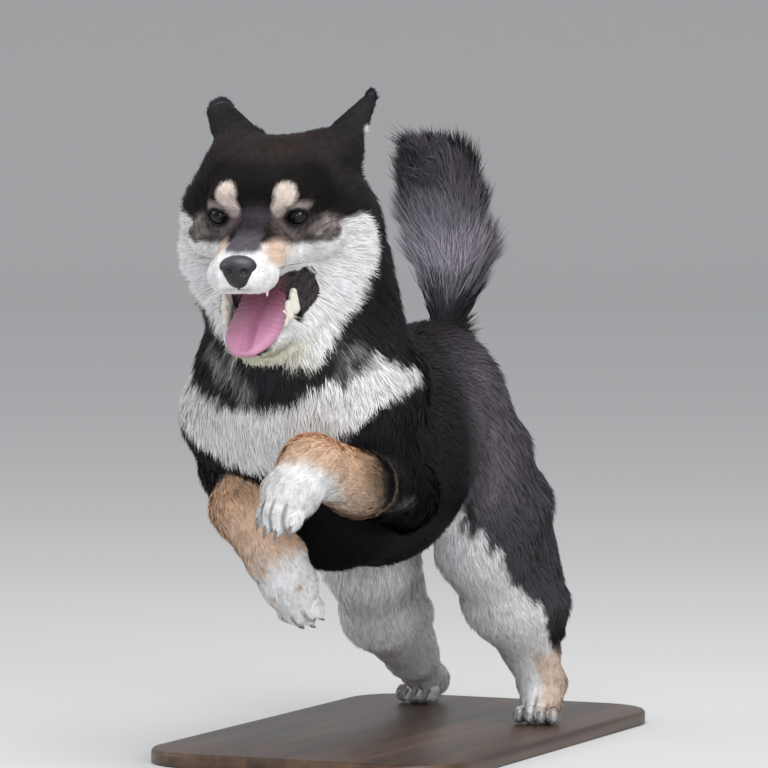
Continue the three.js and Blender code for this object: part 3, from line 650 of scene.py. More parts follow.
def face_marks(P, F, color, wobble):
    """The face's colour, from the points and their head coordinates with both halves laid together."""
    x, y, z = F.T
    near_nose = soft(-20, -45, y)
    # grey-brown patches below and behind the eyes, paler further out, darkest along their lower edge
    patch = np.maximum(blob(F, *BELOW_EYE), 0.8 * blob(F, *BEHIND_EYE))
    patch = np.clip(patch * (0.78 + 0.35 * ripple(P, 6)), 0, 1)
    paler = SMUDGE + (SMUDGE_OUT - SMUDGE) * soft(36, 50, x)[:, None]
    color = tinted(color, paler, patch)
    color = tinted(color, BLACK, 0.6 * blob(F, *BELOW_EYE_EDGE) * (0.6 + 0.4 * wobble))
    color = tinted(color, PALE_TAN, 0.95 * blob(F, *MUZZLE_TAN))
    # the bridge, dark between the eyes and over the muzzle, where it widens above the nose
    half = np.interp(y, [-60, -45, -10, 5], [13, 12, 9.5, 10]) + 0.8 * wobble
    bridge = soft(2.5, -2.5, x - half) * soft(-27, -21, z + 0.10 * y) * soft(24, 8, y) * soft(17, 5, z)
    color = tinted(color, BRIDGE * (0.6 + 1.2 * near_nose[:, None]), bridge)
    between = blob(F, *BESIDE_BRIDGE) * (1 - bridge)
    color = tinted(color, SMUDGE * (0.95, 0.85, 0.85), 0.8 * between)
    # brow spots, pear shaped, with a paler stalk towards the inner corner of each eye
    brow = np.maximum(blob(F, *BROW_SPOT), blob(F, *BROW_STALK))
    color = tinted(color, BROW, brow)
    color = tinted(color, SMUDGE_OUT, 0.75 * (blob(F, *ABOVE_EYE) * (1 - brow)))
    color = tinted(color, SMUDGE, 0.5 * blob(F, *EYE_CORNER))
    for side in (LEFT, RIGHT):
        rim = opening_at(P, side)
        color = tinted(color, LIP, soft(3.0, 1.4, rim) * (eye_coords(P, side)[:, 2] > 0))
    # whisker rows
    for row in range(3):
        for place in range(5):
            dot = np.add(DOT_FIRST, np.multiply(place, DOT_STEP)) - (0, 0, row * DOT_ROW)
            color = tinted(color, ASH, 0.8 * blob(F, dot, DOT_RADII, 0.6))
    # a grey shade under the nose, and the groove below it
    color = tinted(color, ASH, 0.5 * blob(F, *UNDER_NOSE))
    return tinted(color, LIP, soft(1.4, 0.7, x) * soft(-60, -64, y) * soft(-40, -42, z))


def chest_marks(P, color, wobble):
    """A white butterfly across the chest, with ash streaks above its wings."""
    x, y, z = P.T
    round_chest = x + np.sign(x) * np.clip(y + 185, 0, 120) * soft(45, 60, np.abs(x))
    far = np.abs(round_chest)
    middle = BAND_LEVEL + 46 * soft(0, 100, round_chest) + 44 * soft(0, 150, -round_chest)
    half = BAND_HALF - 6 * soft(20, 80, round_chest) - 14 * soft(80, 165, far)
    edge = np.abs(z - middle) - half - 3.0 * wobble
    wing = np.where(round_chest > 0, WING_LEFT, WING_RIGHT)
    band = soft(2.5, -2.5, edge) * soft(4, -6, far - wing) * (y < -60)
    color = tinted(color, WHITE * 0.96, band)
    broken = 0.65 + 0.35 * ripple(P, 8)
    for a, b, radius in CHEST_STREAKS:
        color = tinted(color, ASH * 1.3, np.clip(streak(P, a, b, radius, 5) * broken * 1.3, 0, 1))
    return color


def foot_coords(leg, P):
    """Coordinates from a foot's tip: across it, ahead along it, and out of its back."""
    return [(P - leg.tip) @ way for way in (leg.across, leg.along, leg.back)]


def shaded_toe_gaps(leg, P, color):
    """Painted shade in the grooves between the toes: the colour is darkened there."""
    across, ahead, palm = foot_coords(leg, P)
    spacing = leg.toes[1] - leg.toes[0]
    step = abs(spacing @ leg.across)
    gap = np.abs(across / step - np.clip(np.round(across / step), -1, 1)) * step
    shade = soft(2.4, 0.6, gap) * soft(-6, 2, ahead) * soft(26, 18, ahead) * (np.abs(palm) < 16)
    return color * (1 - 0.55 * shade)[:, None]


def fore_marks(leg, P, color, wobble):
    x, y, z = P.T
    limb, body = least(leg.lower, P), least(trunk + leg.upper, P)
    _, ahead, palm = foot_coords(leg, P)
    on = soft(7, 0, limb + 2 * wobble) * soft(-6, 2, body - limb)
    color = tinted(color, TAN, on)
    if leg.side == LEFT:
        color = tinted(color, DARK_TAN, 0.92 * on * soft(-240, -212, y + 3 * wobble) * soft(262, 236, z))
        color = tinted(color, BLACK, on * soft(-212, -192, y + 3 * wobble) * soft(201, 213, z))
        fringe = streak(P, *ELBOW_FRINGE) * (0.6 + 0.4 * ripple(P, 6))
        color = tinted(color, ASH * 1.2, 0.6 * np.clip(fringe, 0, 1))
        past_wrist = ahead + 0.12 * (x - 50) + 2 * wobble
        color = tinted(color, PALE_TAN, 0.7 * on * soft(-64, -44, past_wrist))
        color = tinted(color, WHITE, on * soft(-44, -27, past_wrist))
    else:
        paw = least([f for f in leg.lower if f.coat == "paw"], P)
        color = tinted(color, PALE_TAN, 0.9 * on * soft(222, 178, z + 2 * wobble))
        color = tinted(color, WHITE, on * soft(17, 1, paw + 2 * wobble))
    color = shaded_toe_gaps(leg, P, color)
    pads = soft(9, 4, least(leg.toe_forms, P)) * soft(-6.5, -8.5, palm)
    return tinted(color, LIP * 1.5, pads * (np.abs(ahead) < 30))


def hind_marks(leg, P, color, wobble):
    x, y, z = P.T
    outward = x * leg.side - np.interp(z, *leg.outer_axis)
    near = soft(20, 8, least(leg.forms, P)) * soft(24, 40, y) * soft(0, 5, x * leg.side + 2 * wobble)
    front_edge = np.interp(z, (60, 100, 150, 190), (152, 104, 50, 32)) + leg.back_shift
    inner = soft(4, -6, outward + 3 * wobble) * soft(196, 178, z + 4 * wobble)
    front = soft(5, -5, y - front_edge + 3 * wobble) * soft(196, 178, z + 0.5 * (y - 30) + 4 * wobble)
    color = tinted(color, GREY, 0.38 * near * soft(0, 12, outward) * soft(70, 120, z) * soft(240, 190, z))
    white = np.maximum(np.maximum(inner, front), soft(70, 56, z + 3 * wobble))
    color = tinted(color, WHITE, near * white)
    heel = soft(-4, 6, outward + 0.35 * (y - np.interp(z, *leg.heel_line)))
    heel = heel * soft(80, 62, z) * soft(16, 30, z)
    return shaded_toe_gaps(leg, P, tinted(color, PALE_TAN, 0.85 * near * heel))


def marks(P):
    """The coat's colour at each point."""
    wobble = ripple(P, 17) + 0.5 * ripple(P[:, [1, 2, 0]], 7)
    color = np.tile(BLACK, (len(P), 1))
    # painted light: the black coat is made paler higher up the body, where light from above falls, and left
    # deepest on the belly, in shade
    lighter = soft(200, 300, P[:, 2]) * (0.75 + 0.25 * ripple(P, 60))
    color = tinted(color, TOP_LIT_BLACK, np.clip(lighter, 0, 1))
    # painted sheen: the rump is paler grey, less on its right side
    rump = np.maximum(blob(P, *RUMP_SHEEN), 0.7 * blob(P, *RUMP_SHEEN_RIGHT))
    color = tinted(color, GREY, 0.75 * rump * (0.85 + 0.15 * ripple(P, 30)))
    brush = soft(20, 40, P[:, 1]) * soft(340, 355, P[:, 2])
    color = tinted(color, MAUVE, 0.95 * brush * blob(P, *TAIL_SPOT))
    color = tinted(color, GREY, 0.5 * brush * soft(420, 450, P[:, 2]))
    # painted shade: the tail's root is darkened to black, where it lies in shadow
    color = tinted(color, BLACK, 0.8 * brush * soft(378, 362, P[:, 2] + 4 * wobble))
    m = within(P, *CHEST_BOX)
    color[m] = chest_marks(P[m], color[m], wobble[m])
    for leg in LEGS:
        m = within(P, leg.low - LEG_MARGIN, leg.high + LEG_MARGIN)
        if m.any():
            color[m] = (hind_marks if leg.stands else fore_marks)(leg, P[m], color[m], wobble[m])
    H = head_coords(P)
    m = within(H, *HEAD_BOX)
    if m.any():
        color[m] = head_marks(H[m], P[m], color[m], wobble[m])
        color[m] = tinted(color[m], WHITE, streak(H[m], *EAR_FRINGE))
    # dark lips, broad on the lower jaw and fine along the upper one
    m &= (H[:, 1] < 45) & (H[:, 2] < -35)
    level = LIP_LEVEL + LIP_SLOPE * (H[m, 1] - LIP_FRONT)
    edge, lower = mouth.at(P[m]), soft(-1, -6, H[m, 2] - level)
    rim = lower * soft(4.2, 2.4, edge) + (1 - lower) * soft(1.9, 0.7, edge)
    color[m] = tinted(color[m], LIP * 1.3, rim)
    return color


# The skin's own surface
class Grid:
    """A slow quantity held at the corners of large cubes, and read between them."""

    def __init__(self, measure, low, high, cell):
        self.low, self.cell = np.asarray(low, float), cell
        self.n = np.ceil((np.asarray(high) - self.low) / cell).astype(int) + 2
        lines = [self.low[a] + cell * np.arange(self.n[a]) for a in range(3)]
        corners = np.stack(np.meshgrid(*lines, indexing="ij"), -1).reshape(-1, 3)
        self.value = np.concatenate([measure(part) for part in np.array_split(corners, 40)]).reshape(self.n)

    def at(self, P):
        q = np.clip((P - self.low) / self.cell, 0, self.n - 1.001)
        i = q.astype(int)
        f = q - i
        total = 0
        for c in range(8):
            d = np.array([c & 1, (c >> 1) & 1, c >> 2])
            share = np.where(d, f, 1 - f).prod(1)
            total = total + share * self.value[tuple((i + d).T)]
        return total


BORDER, DEPTH_CELL = 8, 7.0
low, high = np.array(cad_low) * 1000, np.array(cad_high) * 1000
low[2] = FLOOR - 4
low, high = low - BORDER, high + BORDER
depth = Grid(coat_depth, low, high, DEPTH_CELL)
inset = Form(lambda P: outside.at(P) + depth.at(P), outside.low, outside.high)


LID_THICK, WELL_REACH = 1.4, 22


def well(side):
    """The hollow behind an eye's opening: it goes back to the eyeball's middle."""

    def at(P):
        return np.maximum(opening_at(P, side), -1 - eye_coords(P, side)[:, 2])

    return Form(at, EYES[side] - WELL_REACH, EYES[side] + WELL_REACH)


lids = [egg(EYES[side], (EYE_RADIUS + LID_THICK,) * 3) for side in (LEFT, RIGHT)]
skin_form = scooped(1.4, joined(8, inset, *lids), *[well(side) for side in (LEFT, RIGHT)])
above_floor = Form(lambda P: np.maximum(skin_form.at(P), FLOOR + 0.3 - P[:, 2]), inset.low, inset.high)


def mesh_object(name, P, faces, smooth=True):
    """A mesh of corners in millimetres, with faces of three or four corners."""
    mesh = bpy.data.meshes.new(name)
    faces = np.asarray(faces, np.int32)
    mesh.vertices.add(len(P))
    mesh.vertices.foreach_set("co", (np.asarray(P, np.float32) / 1000).ravel())
    mesh.loops.add(faces.size)
    mesh.loops.foreach_set("vertex_index", faces.ravel())
    mesh.polygons.add(len(faces))
    mesh.polygons.foreach_set("loop_start", np.arange(len(faces), dtype=np.int32) * faces.shape[1])
    mesh.update(calc_edges=True)
    mesh.validate()
    if smooth:
        mesh.shade_smooth()
    obj = bpy.data.objects.new(name, mesh)
    bpy.context.collection.objects.link(obj)
    return obj


def put_color(obj, color):
    layer = obj.data.attributes.new("marks", "FLOAT_COLOR", "POINT")
    opaque = np.column_stack([color, np.ones(len(color))])
    layer.data.foreach_set("color", opaque.astype(np.float32).ravel())


def corner_normals(P, tris):
    n = np.zeros_like(P)
    f = np.cross(P[tris[:, 1]] - P[tris[:, 0]], P[tris[:, 2]] - P[tris[:, 0]])
    for c in range(3):
        np.add.at(n, tris[:, c], f)
    return unit(n)


def triangles(quads):
    return np.concatenate([quads[:, [0, 1, 2]], quads[:, [0, 2, 3]]])


def refined(form, P, tris, pick, most):
    """Each picked triangle is split in four, and its corners are pulled onto the form again."""
    edges = np.sort(np.stack([tris[:, [0, 1]], tris[:, [1, 2]], tris[:, [2, 0]]], 1), axis=2)
    key = edges[..., 0] * len(P) + edges[..., 1]
    split = np.unique(key[pick])
    middle = np.searchsorted(split, key).clip(0, len(split) - 1)
    has = split[middle] == key
    ends = np.stack([split // len(P), split % len(P)], 1)
    middle = np.where(has, middle + len(P), -1)
    P = np.concatenate([P, P[ends].mean(1)])
    made, count = [], has.sum(1)
    made.append(tris[count == 0])
    t, m = tris[count == 3], middle[count == 3]
    for corner in range(3):
        made.append(np.stack([t[:, corner], m[:, corner], m[:, corner - 1]], 1))
    made.append(m)
    for turn in range(3):
        order = [turn, (turn + 1) % 3, (turn + 2) % 3]
        one = (count == 1) & has[:, order[0]]
        (a, b, c), m = tris[one][:, order].T, middle[one][:, order[0]]
        made += [np.stack([a, m, c], 1), np.stack([m, b, c], 1)]
        two = (count == 2) & ~has[:, order[2]]
        (a, b, c), (m, n) = tris[two][:, order].T, middle[two][:, order[:2]].T
        made += [np.stack([m, b, n], 1), np.stack([a, m, n], 1), np.stack([a, n, c], 1)]
    tris = np.concatenate(made)
    near = np.zeros(len(P), bool)
    near[len(P) - len(split) :] = True
    near[tris[near[tris].any(1)].ravel()] = True
    P[near] = pulled(form, P[near], most)
    return P, tris


# Where the net is made finer: over the face, the ears and the paws, then along the lips and the lids
FINE_FACE = (-66, -FAR, -122), (66, 45, 45)
FINE_LIPS = (-60, -FAR, -105), (60, 32, FAR)
PINNA_REACH, PAW_REACH, LIP_REACH, LID_REACH = 3, 32, 4, 19
CELL = 3.2
skin_P, skin_quads = netted(above_floor, low, high, CELL)
skin_tris = triangles(skin_quads)
for level in range(2):
    middles = skin_P[skin_tris].mean(1)
    H = head_coords(middles)
    if level == 0:
        pick = within(H, *FINE_FACE) | (least(pinnae, middles) < PINNA_REACH)
        for leg in LEGS:
            pick |= within(middles, leg.tip - PAW_REACH, leg.tip + PAW_REACH)
    else:
        pick = (np.abs(mouth.at(middles)) < LIP_REACH) & within(H, *FINE_LIPS)
        for side in (LEFT, RIGHT):
            pick |= np.linalg.norm(middles - EYES[side], axis=1) < LID_REACH
    skin_P, skin_tris = refined(above_floor, skin_P, skin_tris, pick, 0.5 * CELL / (level + 1))
skin_N = corner_normals(skin_P, skin_tris)
print("skin", len(skin_P), "corners", len(skin_tris), "triangles")


# Materials
def material(name, roughness, specular, color=None, **sockets):
    """A principled material, whose base colour is set when one is given."""
    mat = bpy.data.materials.new(name)
    mat.use_nodes = True
    nodes, links = mat.node_tree.nodes, mat.node_tree.links
    shader = nodes["Principled BSDF"]
    shader.inputs["Roughness"].default_value = roughness
    shader.inputs["Specular IOR Level"].default_value = specular
    for key, value in sockets.items():
        shader.inputs[key.replace("_", " ")].default_value = value
    if color is not None:
        shader.inputs["Base Color"].default_value = (*color, 1)
    return mat, nodes, links, shader


def noise(nodes, links, scale, detail=3.0, stretch=(1, 1, 1), rough=0.5):
    where = nodes.new("ShaderNodeTexCoord")
    sized = nodes.new("ShaderNodeMapping")
    sized.inputs["Scale"].default_value = stretch
    tex = nodes.new("ShaderNodeTexNoise")
    tex.inputs["Scale"].default_value = scale
    tex.inputs["Detail"].default_value = detail
    tex.inputs["Roughness"].default_value = rough
    links.new(where.outputs["Object"], sized.inputs["Vector"])
    links.new(sized.outputs["Vector"], tex.inputs["Vector"])
    return tex.outputs["Fac"]


def add_bump(mat, strength, distance, *grain):
    """Fine unevenness in a material, from a noise of the given scale, detail and stretch."""
    nodes, links = mat.node_tree.nodes, mat.node_tree.links
    bump = nodes.new("ShaderNodeBump")
    bump.inputs["Strength"].default_value = strength
    bump.inputs["Distance"].default_value = distance
    links.new(noise(nodes, links, *grain), bump.inputs["Height"])
    links.new(bump.outputs["Normal"], nodes["Principled BSDF"].inputs["Normal"])


def marked(name, roughness, specular, scale, depth=0.3, **sockets):
    """A material whose colour is the marks, unevenly lightened and darkened by a fine noise."""
    mat, nodes, links, shader = material(name, roughness, specular, **sockets)
    read = nodes.new("ShaderNodeAttribute")
    read.attribute_name = "marks"
    shade = nodes.new("ShaderNodeMapRange")
    shade.inputs["To Min"].default_value = 1 - depth
    shade.inputs["To Max"].default_value = 1 + depth
    links.new(noise(nodes, links, scale), shade.inputs["Value"])
    mix = nodes.new("ShaderNodeVectorMath")
    mix.operation = "SCALE"
    links.new(read.outputs["Color"], mix.inputs[0])
    links.new(shade.outputs["Result"], mix.inputs["Scale"])
    links.new(mix.outputs["Vector"], shader.inputs["Base Color"])
    return mat


skin_mat = marked("skin", 0.7, 0.3, 300)
add_bump(skin_mat, 0.4, 0.0006, 900)
lip_mat = marked("lips and gums", 0.4, 0.25, 420, 0.95)
add_bump(lip_mat, 1.0, 0.003, 300, 4)
coat_mat = marked("coat", 0.55, 0.06, 160, 0.2)

# The skin, with wet dark lips and pink gums inside the mouth
H = head_coords(skin_P)
in_mouth = mouth.at(skin_P)
in_front = within(H, *LIPS_BOX)
color = marks(skin_P)
lining = soft(2.4, 1.2, in_mouth) * in_front
color = tinted(color, LINING * (1 + 0.5 * ripple(skin_P, 5))[:, None], lining)
deep = soft(24, 12, np.abs(H[:, 0])) * soft(-58, -40, H[:, 1])
color = tinted(color, GUM, lining * deep)
skin = mesh_object("skin", skin_P, skin_tris)
put_color(skin, color)
skin.data.materials.append(skin_mat)
skin.data.materials.append(lip_mat)
skin.data.polygons.foreach_set("material_index", (lining[skin_tris].mean(1) > 0.5).astype(np.int32))
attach(skin, "root")
FLESH = [n for n in NODES if not n.startswith(("claw", "eye", "stand", "nose", "tongue"))]
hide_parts(*FLESH)

# How the coat lies at each corner of the skin
WHORL = head_point(0, -92, -30)  # the face's hair runs back from in front of the nose
weights = coat_weights(skin_P)
weights /= weights.sum(1, keepdims=True)
fields = weights @ FIELDS
on_head = weights @ np.array([0.0 if np.any(f) else 1.0 for f in FLOWS])
flow = weights @ FLOWS + on_head[:, None] * unit(skin_P - WHORL)
flow = flow - (flow * skin_N).sum(1, keepdims=True) * skin_N
edges = np.concatenate([skin_tris[:, [i, (i + 1) % 3]] for i in range(3)])
for _ in range(10):
    total = np.zeros_like(flow)
    np.add.at(total, edges[:, 0], flow[edges[:, 1]])
    flow = unit(flow + total * 0.35)
    flow = unit(flow - (flow * skin_N).sum(1, keepdims=True) * skin_N)

# Bare places: inside the mouth, on the lids' rims, under the nose and on the pads
bare = soft(2.6, 1.4, in_mouth) * in_front
for side in (LEFT, RIGHT):
    rim = opening_at(skin_P, side)
    there = np.linalg.norm(skin_P - EYES[side], axis=1) < 24
    bare = np.maximum(bare, soft(1.4, 0.9, rim) * there)
    fields[:, 0] *= 1 - 0.55 * there * soft(9, 2, rim)
bare = np.maximum(bare, blob(H, (0, -70, -31), (14, 11, 12), 0.1))
for leg in LEGS:
    if not leg.stands:
        palm = foot_coords(leg, skin_P)[2]
        bare = np.maximum(bare, soft(6, 3, least(leg.toe_forms, skin_P)) * soft(-6.5, -8.5, palm))
fields[:, 4] *= 1 - bare
fields[least(hollows, skin_P) < 2, 0] *= 1.3  # longer hair inside the ears


# The coat's map: a coarse copy of the skin, unwrapped zone by zone
def unwrapped(P, quads):
    """A function from points near these faces to their places on the faces' own unwrapped map."""
    obj = mesh_object("unwrap", P, quads)
    bpy.context.view_layer.objects.active = obj
    obj.select_set(True)
    bpy.ops.object.mode_set(mode="EDIT")
    bpy.ops.mesh.select_all(action="SELECT")
    bpy.ops.uv.smart_project(angle_limit=math.radians(66), island_margin=0.004)
    bpy.ops.object.mode_set(mode="OBJECT")
    count = len(obj.data.loops)
    uv, corner = np.empty(count * 2, np.float32), np.empty(count, np.int32)
    obj.data.uv_layers.active.data.foreach_get("uv", uv)
    obj.data.loops.foreach_get("vertex_index", corner)
    uv, corner = uv.reshape(-1, 4, 2), corner.reshape(-1, 4)
    bpy.data.meshes.remove(obj.data)
    tris = triangles(corner)
    places = np.concatenate([uv[:, [0, 1, 2]], uv[:, [0, 2, 3]]])
    tree = BVHTree.FromPolygons(P.tolist(), tris.tolist())

    def at(points):
        hits = [tree.find_nearest(p) for p in points.tolist()]
        on, face = (np.array([hit[i] for hit in hits]) for i in (0, 2))
        a, b, c = (P[tris[face, i]] for i in range(3))
        u, v, w = b - a, c - a, on - a
        uu, uv_, vv = (u * u).sum(1), (u * v).sum(1), (v * v).sum(1)
        wu, wv = (w * u).sum(1), (w * v).sum(1)
        scale = np.maximum(uu * vv - uv_ * uv_, 1e-9)
        s, t = (vv * wu - uv_ * wv) / scale, (uu * wv - uv_ * wu) / scale
        share = np.stack([1 - s - t, s, t], 1)
        return np.einsum("ij,ijk->ik", share, places[face])

    return at


# Tufts
PATCH = 0.003  # a tuft's patch on the map
MOST = 190000  # triangles in a piece
PROFILES = {2: (0.8, 1.0), 3: (0.75, 1.0, 0.7)}  # a tuft's width at the start of each step
ROUND = 0.45  # how far a tuft's normals turn aside at its edges
ROOT_DEPTH = 0.5  # how deep in the skin a tuft starts
LENGTHS, LIFTS = (0.7, 1.12), (0.55, 1.3)  # least and most, for the coat's own length and lift
# The lean that neighbours share over near and far swells, and each tuft's own lean, roll and curve
NEAR_LEAN, NEAR_SWELL, FAR_LEAN, FAR_SWELL = 0.20, 9, 0.16, 23
OWN_LEAN, ROLL, CURVE = 0.13, 0.35, 0.08
ROOT_SHADE, TIP_MORE = 0.84, 0.26  # painted shade: a tuft's colour at its root, darkened deep in the coat, and how much lighter its tip is


def bent(direction, normal, angle):
    return direction * np.cos(angle)[:, None] + normal * np.sin(angle)[:, None]


def grow(name, tris, count, want, steps, place_on_map):
    """Tufts over some of the skin's triangles: each is a blade of the given steps that tapers to a tip."""
    pick = np.searchsorted(np.cumsum(want), rng.uniform(0, want.sum(), count))
    pick = np.sort(np.minimum(pick, len(tris) - 1))
    u, v = rng.uniform(size=(2, count))
    flip = u + v > 1
    u, v = np.where(flip, 1 - u, u), np.where(flip, 1 - v, v)
    bary = np.stack([1 - u - v, u, v], 1)
    at = lambda values: np.einsum("ij,ijk->ik", bary, values[tris[pick]])
    root, n, f = at(skin_P), unit(at(skin_N)), unit(at(flow))
    length, lift, wide = at(fields[:, :3]).T
    f = unit(f - (f * n).sum(1, keepdims=True) * n)
    side = np.cross(f, n)
    # neighbours lean the same way, as locks do
    lean = NEAR_LEAN * ripple(root, NEAR_SWELL) + FAR_LEAN * ripple(root[:, [2, 0, 1]], FAR_SWELL)
    lean = lean + rng.normal(scale=OWN_LEAN, size=count)
    f = unit(f + side * lean[:, None])
    side = np.cross(f, n)
    length = length * rng.uniform(*LENGTHS, count) * (1 + 0.08 * ripple(root[:, [1, 0, 2]], 13))
    lift = np.radians(lift) * rng.uniform(*LIFTS, count)
    roll = rng.normal(scale=ROLL, size=count)
    across = unit(side * np.cos(roll)[:, None] + n * np.sin(roll)[:, None])
    bend = rng.normal(scale=CURVE, size=count)
    points, here = [], root - ROOT_DEPTH * n
    for s in range(steps + 1):
        points.append(here)
        t = (s + 0.5) / steps
        way = bent(f, n, lift * (1.3 - 0.8 * t))
        way = unit(way + side * (bend * 2 * t)[:, None])
        here = here + way * (length / steps)[:, None]
    rows, normals, spots = [], [], []
    for s, share in enumerate(PROFILES[steps]):
        t = s / steps
        half = across * (wide * share / 2)[:, None]
        for edge in (-1, 1):
            rows.append(points[s] + edge * half)
            normals.append(unit(n + edge * ROUND * across))
            spots.append((edge, 2 * t - 1, t))
    rows, normals, spots = rows + points[-1:], normals + [n], spots + [(0, 1, 1)]
    per = 2 * steps + 1
    P = np.stack(rows, 1).reshape(-1, 3)
    N = np.stack(normals, 1).reshape(-1, 3)
    spots = np.array(spots, float)
    first = np.arange(count)[:, None] * per
    local = []
    for i in range(0, 2 * steps - 2, 2):
        local += [(i, i + 1, i + 3), (i, i + 3, i + 2)]
    local.append((per - 3, per - 2, per - 1))
    faces = np.concatenate([first + np.array(t) for t in local], 1).reshape(-1, 3)
    color = marks(root + 0.5 * length[:, None] * f)
    light = (1 + 0.13 * rng.normal(size=count)) * (1 + 0.10 * ripple(root, 11))
    color = color * np.clip(light, 0.55, 1.5)[:, None]
    # painted shade: each tuft is darkest at its root and lighter toward its tip
    color = (color[:, None, :] * (ROOT_SHADE + TIP_MORE * spots[:, 2])[None, :, None]).reshape(-1, 3)
    obj = mesh_object(name, P, faces)
    obj.data.normals_split_custom_set_from_vertices(N.astype(np.float32))
    put_color(obj, np.minimum(color, 0.9))
    spot = place_on_map(root)[:, None, :] + spots[None, :, :2] * PATCH / 2
    uv = spot.reshape(-1, 2)[faces.ravel()]
    obj.data.uv_layers.new(name="OFBake").data.foreach_set("uv", uv.astype(np.float32).ravel())
    obj.data.materials.append(coat_mat)
    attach(obj, "root")
    return len(faces)


ZONES = [("head", skull + pinnae), ("jaw", jaw), ("neck", neck), ("trunk", trunk), ("tail", tail)]
ZONES += [(leg.name, leg.forms) for leg in LEGS]
zone_of_form = np.array([next(i for i, (_, forms) in enumerate(ZONES) if f in forms) for f in ALL_FORMS])
zone = zone_of_form[weights[skin_tris].mean(1).argmax(1)]
coarse_P, coarse_quads = netted(above_floor, low, high, 9.0)
coarse_zone = zone_of_form[coat_weights(coarse_P[coarse_quads].mean(1)).argmax(1)]
thin = 1.0
coat_total = 0
for i, (name, _) in enumerate(ZONES):
    tris = skin_tris[zone == i]
    a, b, c = (skin_P[tris[:, j]] for j in range(3))
    want = np.linalg.norm(np.cross(b - a, c - a), axis=1) / 2 * fields[tris, 4].mean(1)
    steps = 3 if name == "tail" else 2
    total = int(want.sum() * thin)
    pieces = math.ceil(total * (2 * steps - 1) / MOST)
    place_on_map = unwrapped(coarse_P, coarse_quads[coarse_zone == i])
    for part in range(pieces):
        label = f"coat_{name}" + (f"_{part + 1}" if pieces > 1 else "")
        coat_total += grow(label, tris, total // pieces, want, steps, place_on_map)
    print(name, total, "tufts in", pieces, "pieces")
print("coat", coat_total, "triangles")


# Eyes, nose, tongue, teeth, claws and whiskers
def settle(obj, mat, slot, *nodes):
    """Gives a piece its material and body, and hides the nodes that it stands for. The slot is not used."""
    obj.data.materials.append(mat)
    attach(obj, "root")
    if nodes:
        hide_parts(*nodes)
    return obj


def walls(rows, sides):
    """Triangles between rows of corners that each run once round a shape."""
    s = np.arange(sides)
    n = (s + 1) % sides
    quad = np.stack([s, n, n + sides, s + sides], 1)
    return triangles(np.concatenate([quad + row * sides for row in range(rows - 1)]))


def fan(row, sides, middle):
    """Triangles between one row of corners and a middle, facing back along the rows."""
    s = np.arange(sides)
    return np.stack([row * sides + (s + 1) % sides, row * sides + s, np.full(sides, middle)], 1)


def closed(rows, sides):
    """Walls with both ends closed by the two corners that follow the rows."""
    start, end = fan(0, sides, rows * sides), fan(rows - 1, sides, rows * sides + 1)
    return np.concatenate([walls(rows, sides), start, end[:, ::-1]])


def lathed(middle, axes, rings, sides):
    """A closed mesh round the third axis, from rings of radius and height that start and end at 0."""
    turn = np.linspace(0, 2 * math.pi, sides, endpoint=False)
    out = np.cos(turn)[:, None] * axes[0] + np.sin(turn)[:, None] * axes[1]
    P = [middle + h * axes[2] + r * way for r, h in rings[1:-1] for way in out]
    P += [middle + h * axes[2] for h in (rings[0][1], rings[-1][1])]
    return np.array(P), closed(len(rings) - 2, sides)


eye_mat = marked("eye", 0.05, 0.32, 300, 0.15)
PUPIL, IRIS, CORNEA = 0.20, 0.60, 0.42  # angles from the eye's axis
EYE_EDGE = np.array([0.010, 0.009, 0.011])
IRIS_COLOR = np.array([0.006, 0.005, 0.007])
PUPIL_COLOR = np.array([0.004, 0.003, 0.003])
for side, name in ((LEFT, "left"), (RIGHT, "right")):
    angles = np.linspace(math.pi, 0, 49)
    bulge = EYE_RADIUS + 0.7 * np.exp(-((angles / CORNEA) ** 2))
    rings = np.column_stack([bulge * np.sin(angles), bulge * np.cos(angles)])
    P, faces = lathed(EYES[side], EYE_AXES[side], rings, 48)
    q = unit(P - EYES[side]) @ EYE_AXES[side].T
    angle = np.arccos(np.clip(q[:, 2], -1, 1))
    color = tinted(np.tile(EYE_EDGE, (len(P), 1)), IRIS_COLOR, soft(IRIS + 0.05, IRIS, angle))
    dark_ring = 0.6 * soft(0.075, 0.045, np.abs(angle - IRIS))
    color = tinted(color, PUPIL_COLOR, soft(PUPIL + 0.05, PUPIL, angle) + dark_ring)
    eye = mesh_object("eye_" + name + "_ball", P, faces)
    put_color(eye, np.clip(color, 0.002, 1))
    settle(eye, eye_mat, "eye", "eye_" + name)


def fine(name, form, cell):
    """A finely netted piece of its own."""
    P, quads = netted(form, form.low - 3 * cell, form.high + 3 * cell, cell)
    return mesh_object(name, P, quads), P


def scoop_tube(a, b, ra, rb):
    return tube(head_point(*a), head_point(*b), ra, rb)


nose_cuts = [scoop_tube((0, -79, -29), (0, -75, -50), 0.9, 0.9)]
for side in (LEFT, RIGHT):
    nose_cuts.append(egg(head_point(side * 6.6, -78, -29.5), (3.7, 5, 2.9), HEAD_AXES))
    nose_cuts.append(scoop_tube((side * 8, -77.5, -30), (side * 15, -70, -30.5), 1.5, 1.2))
nose_body = joined(
    5,
    egg(head_point(0, -66, -27), (15, 11, 9), HEAD_AXES),
    egg(head_point(0, -66.3, -34), (10.5, 9.7, 9.2), HEAD_AXES),
)
nose, P = fine("nose_leather", scooped(1.6, nose_body, *nose_cuts), 0.8)
nose_mat = marked("nose leather", 0.36, 0.55, 500, 0.25)
add_bump(nose_mat, 0.55, 0.0006, 900, 2)
NOSE_DARK = np.array([0.009, 0.0085, 0.011])
NOSE_TOP_LIT = np.array([0.045, 0.042, 0.052])
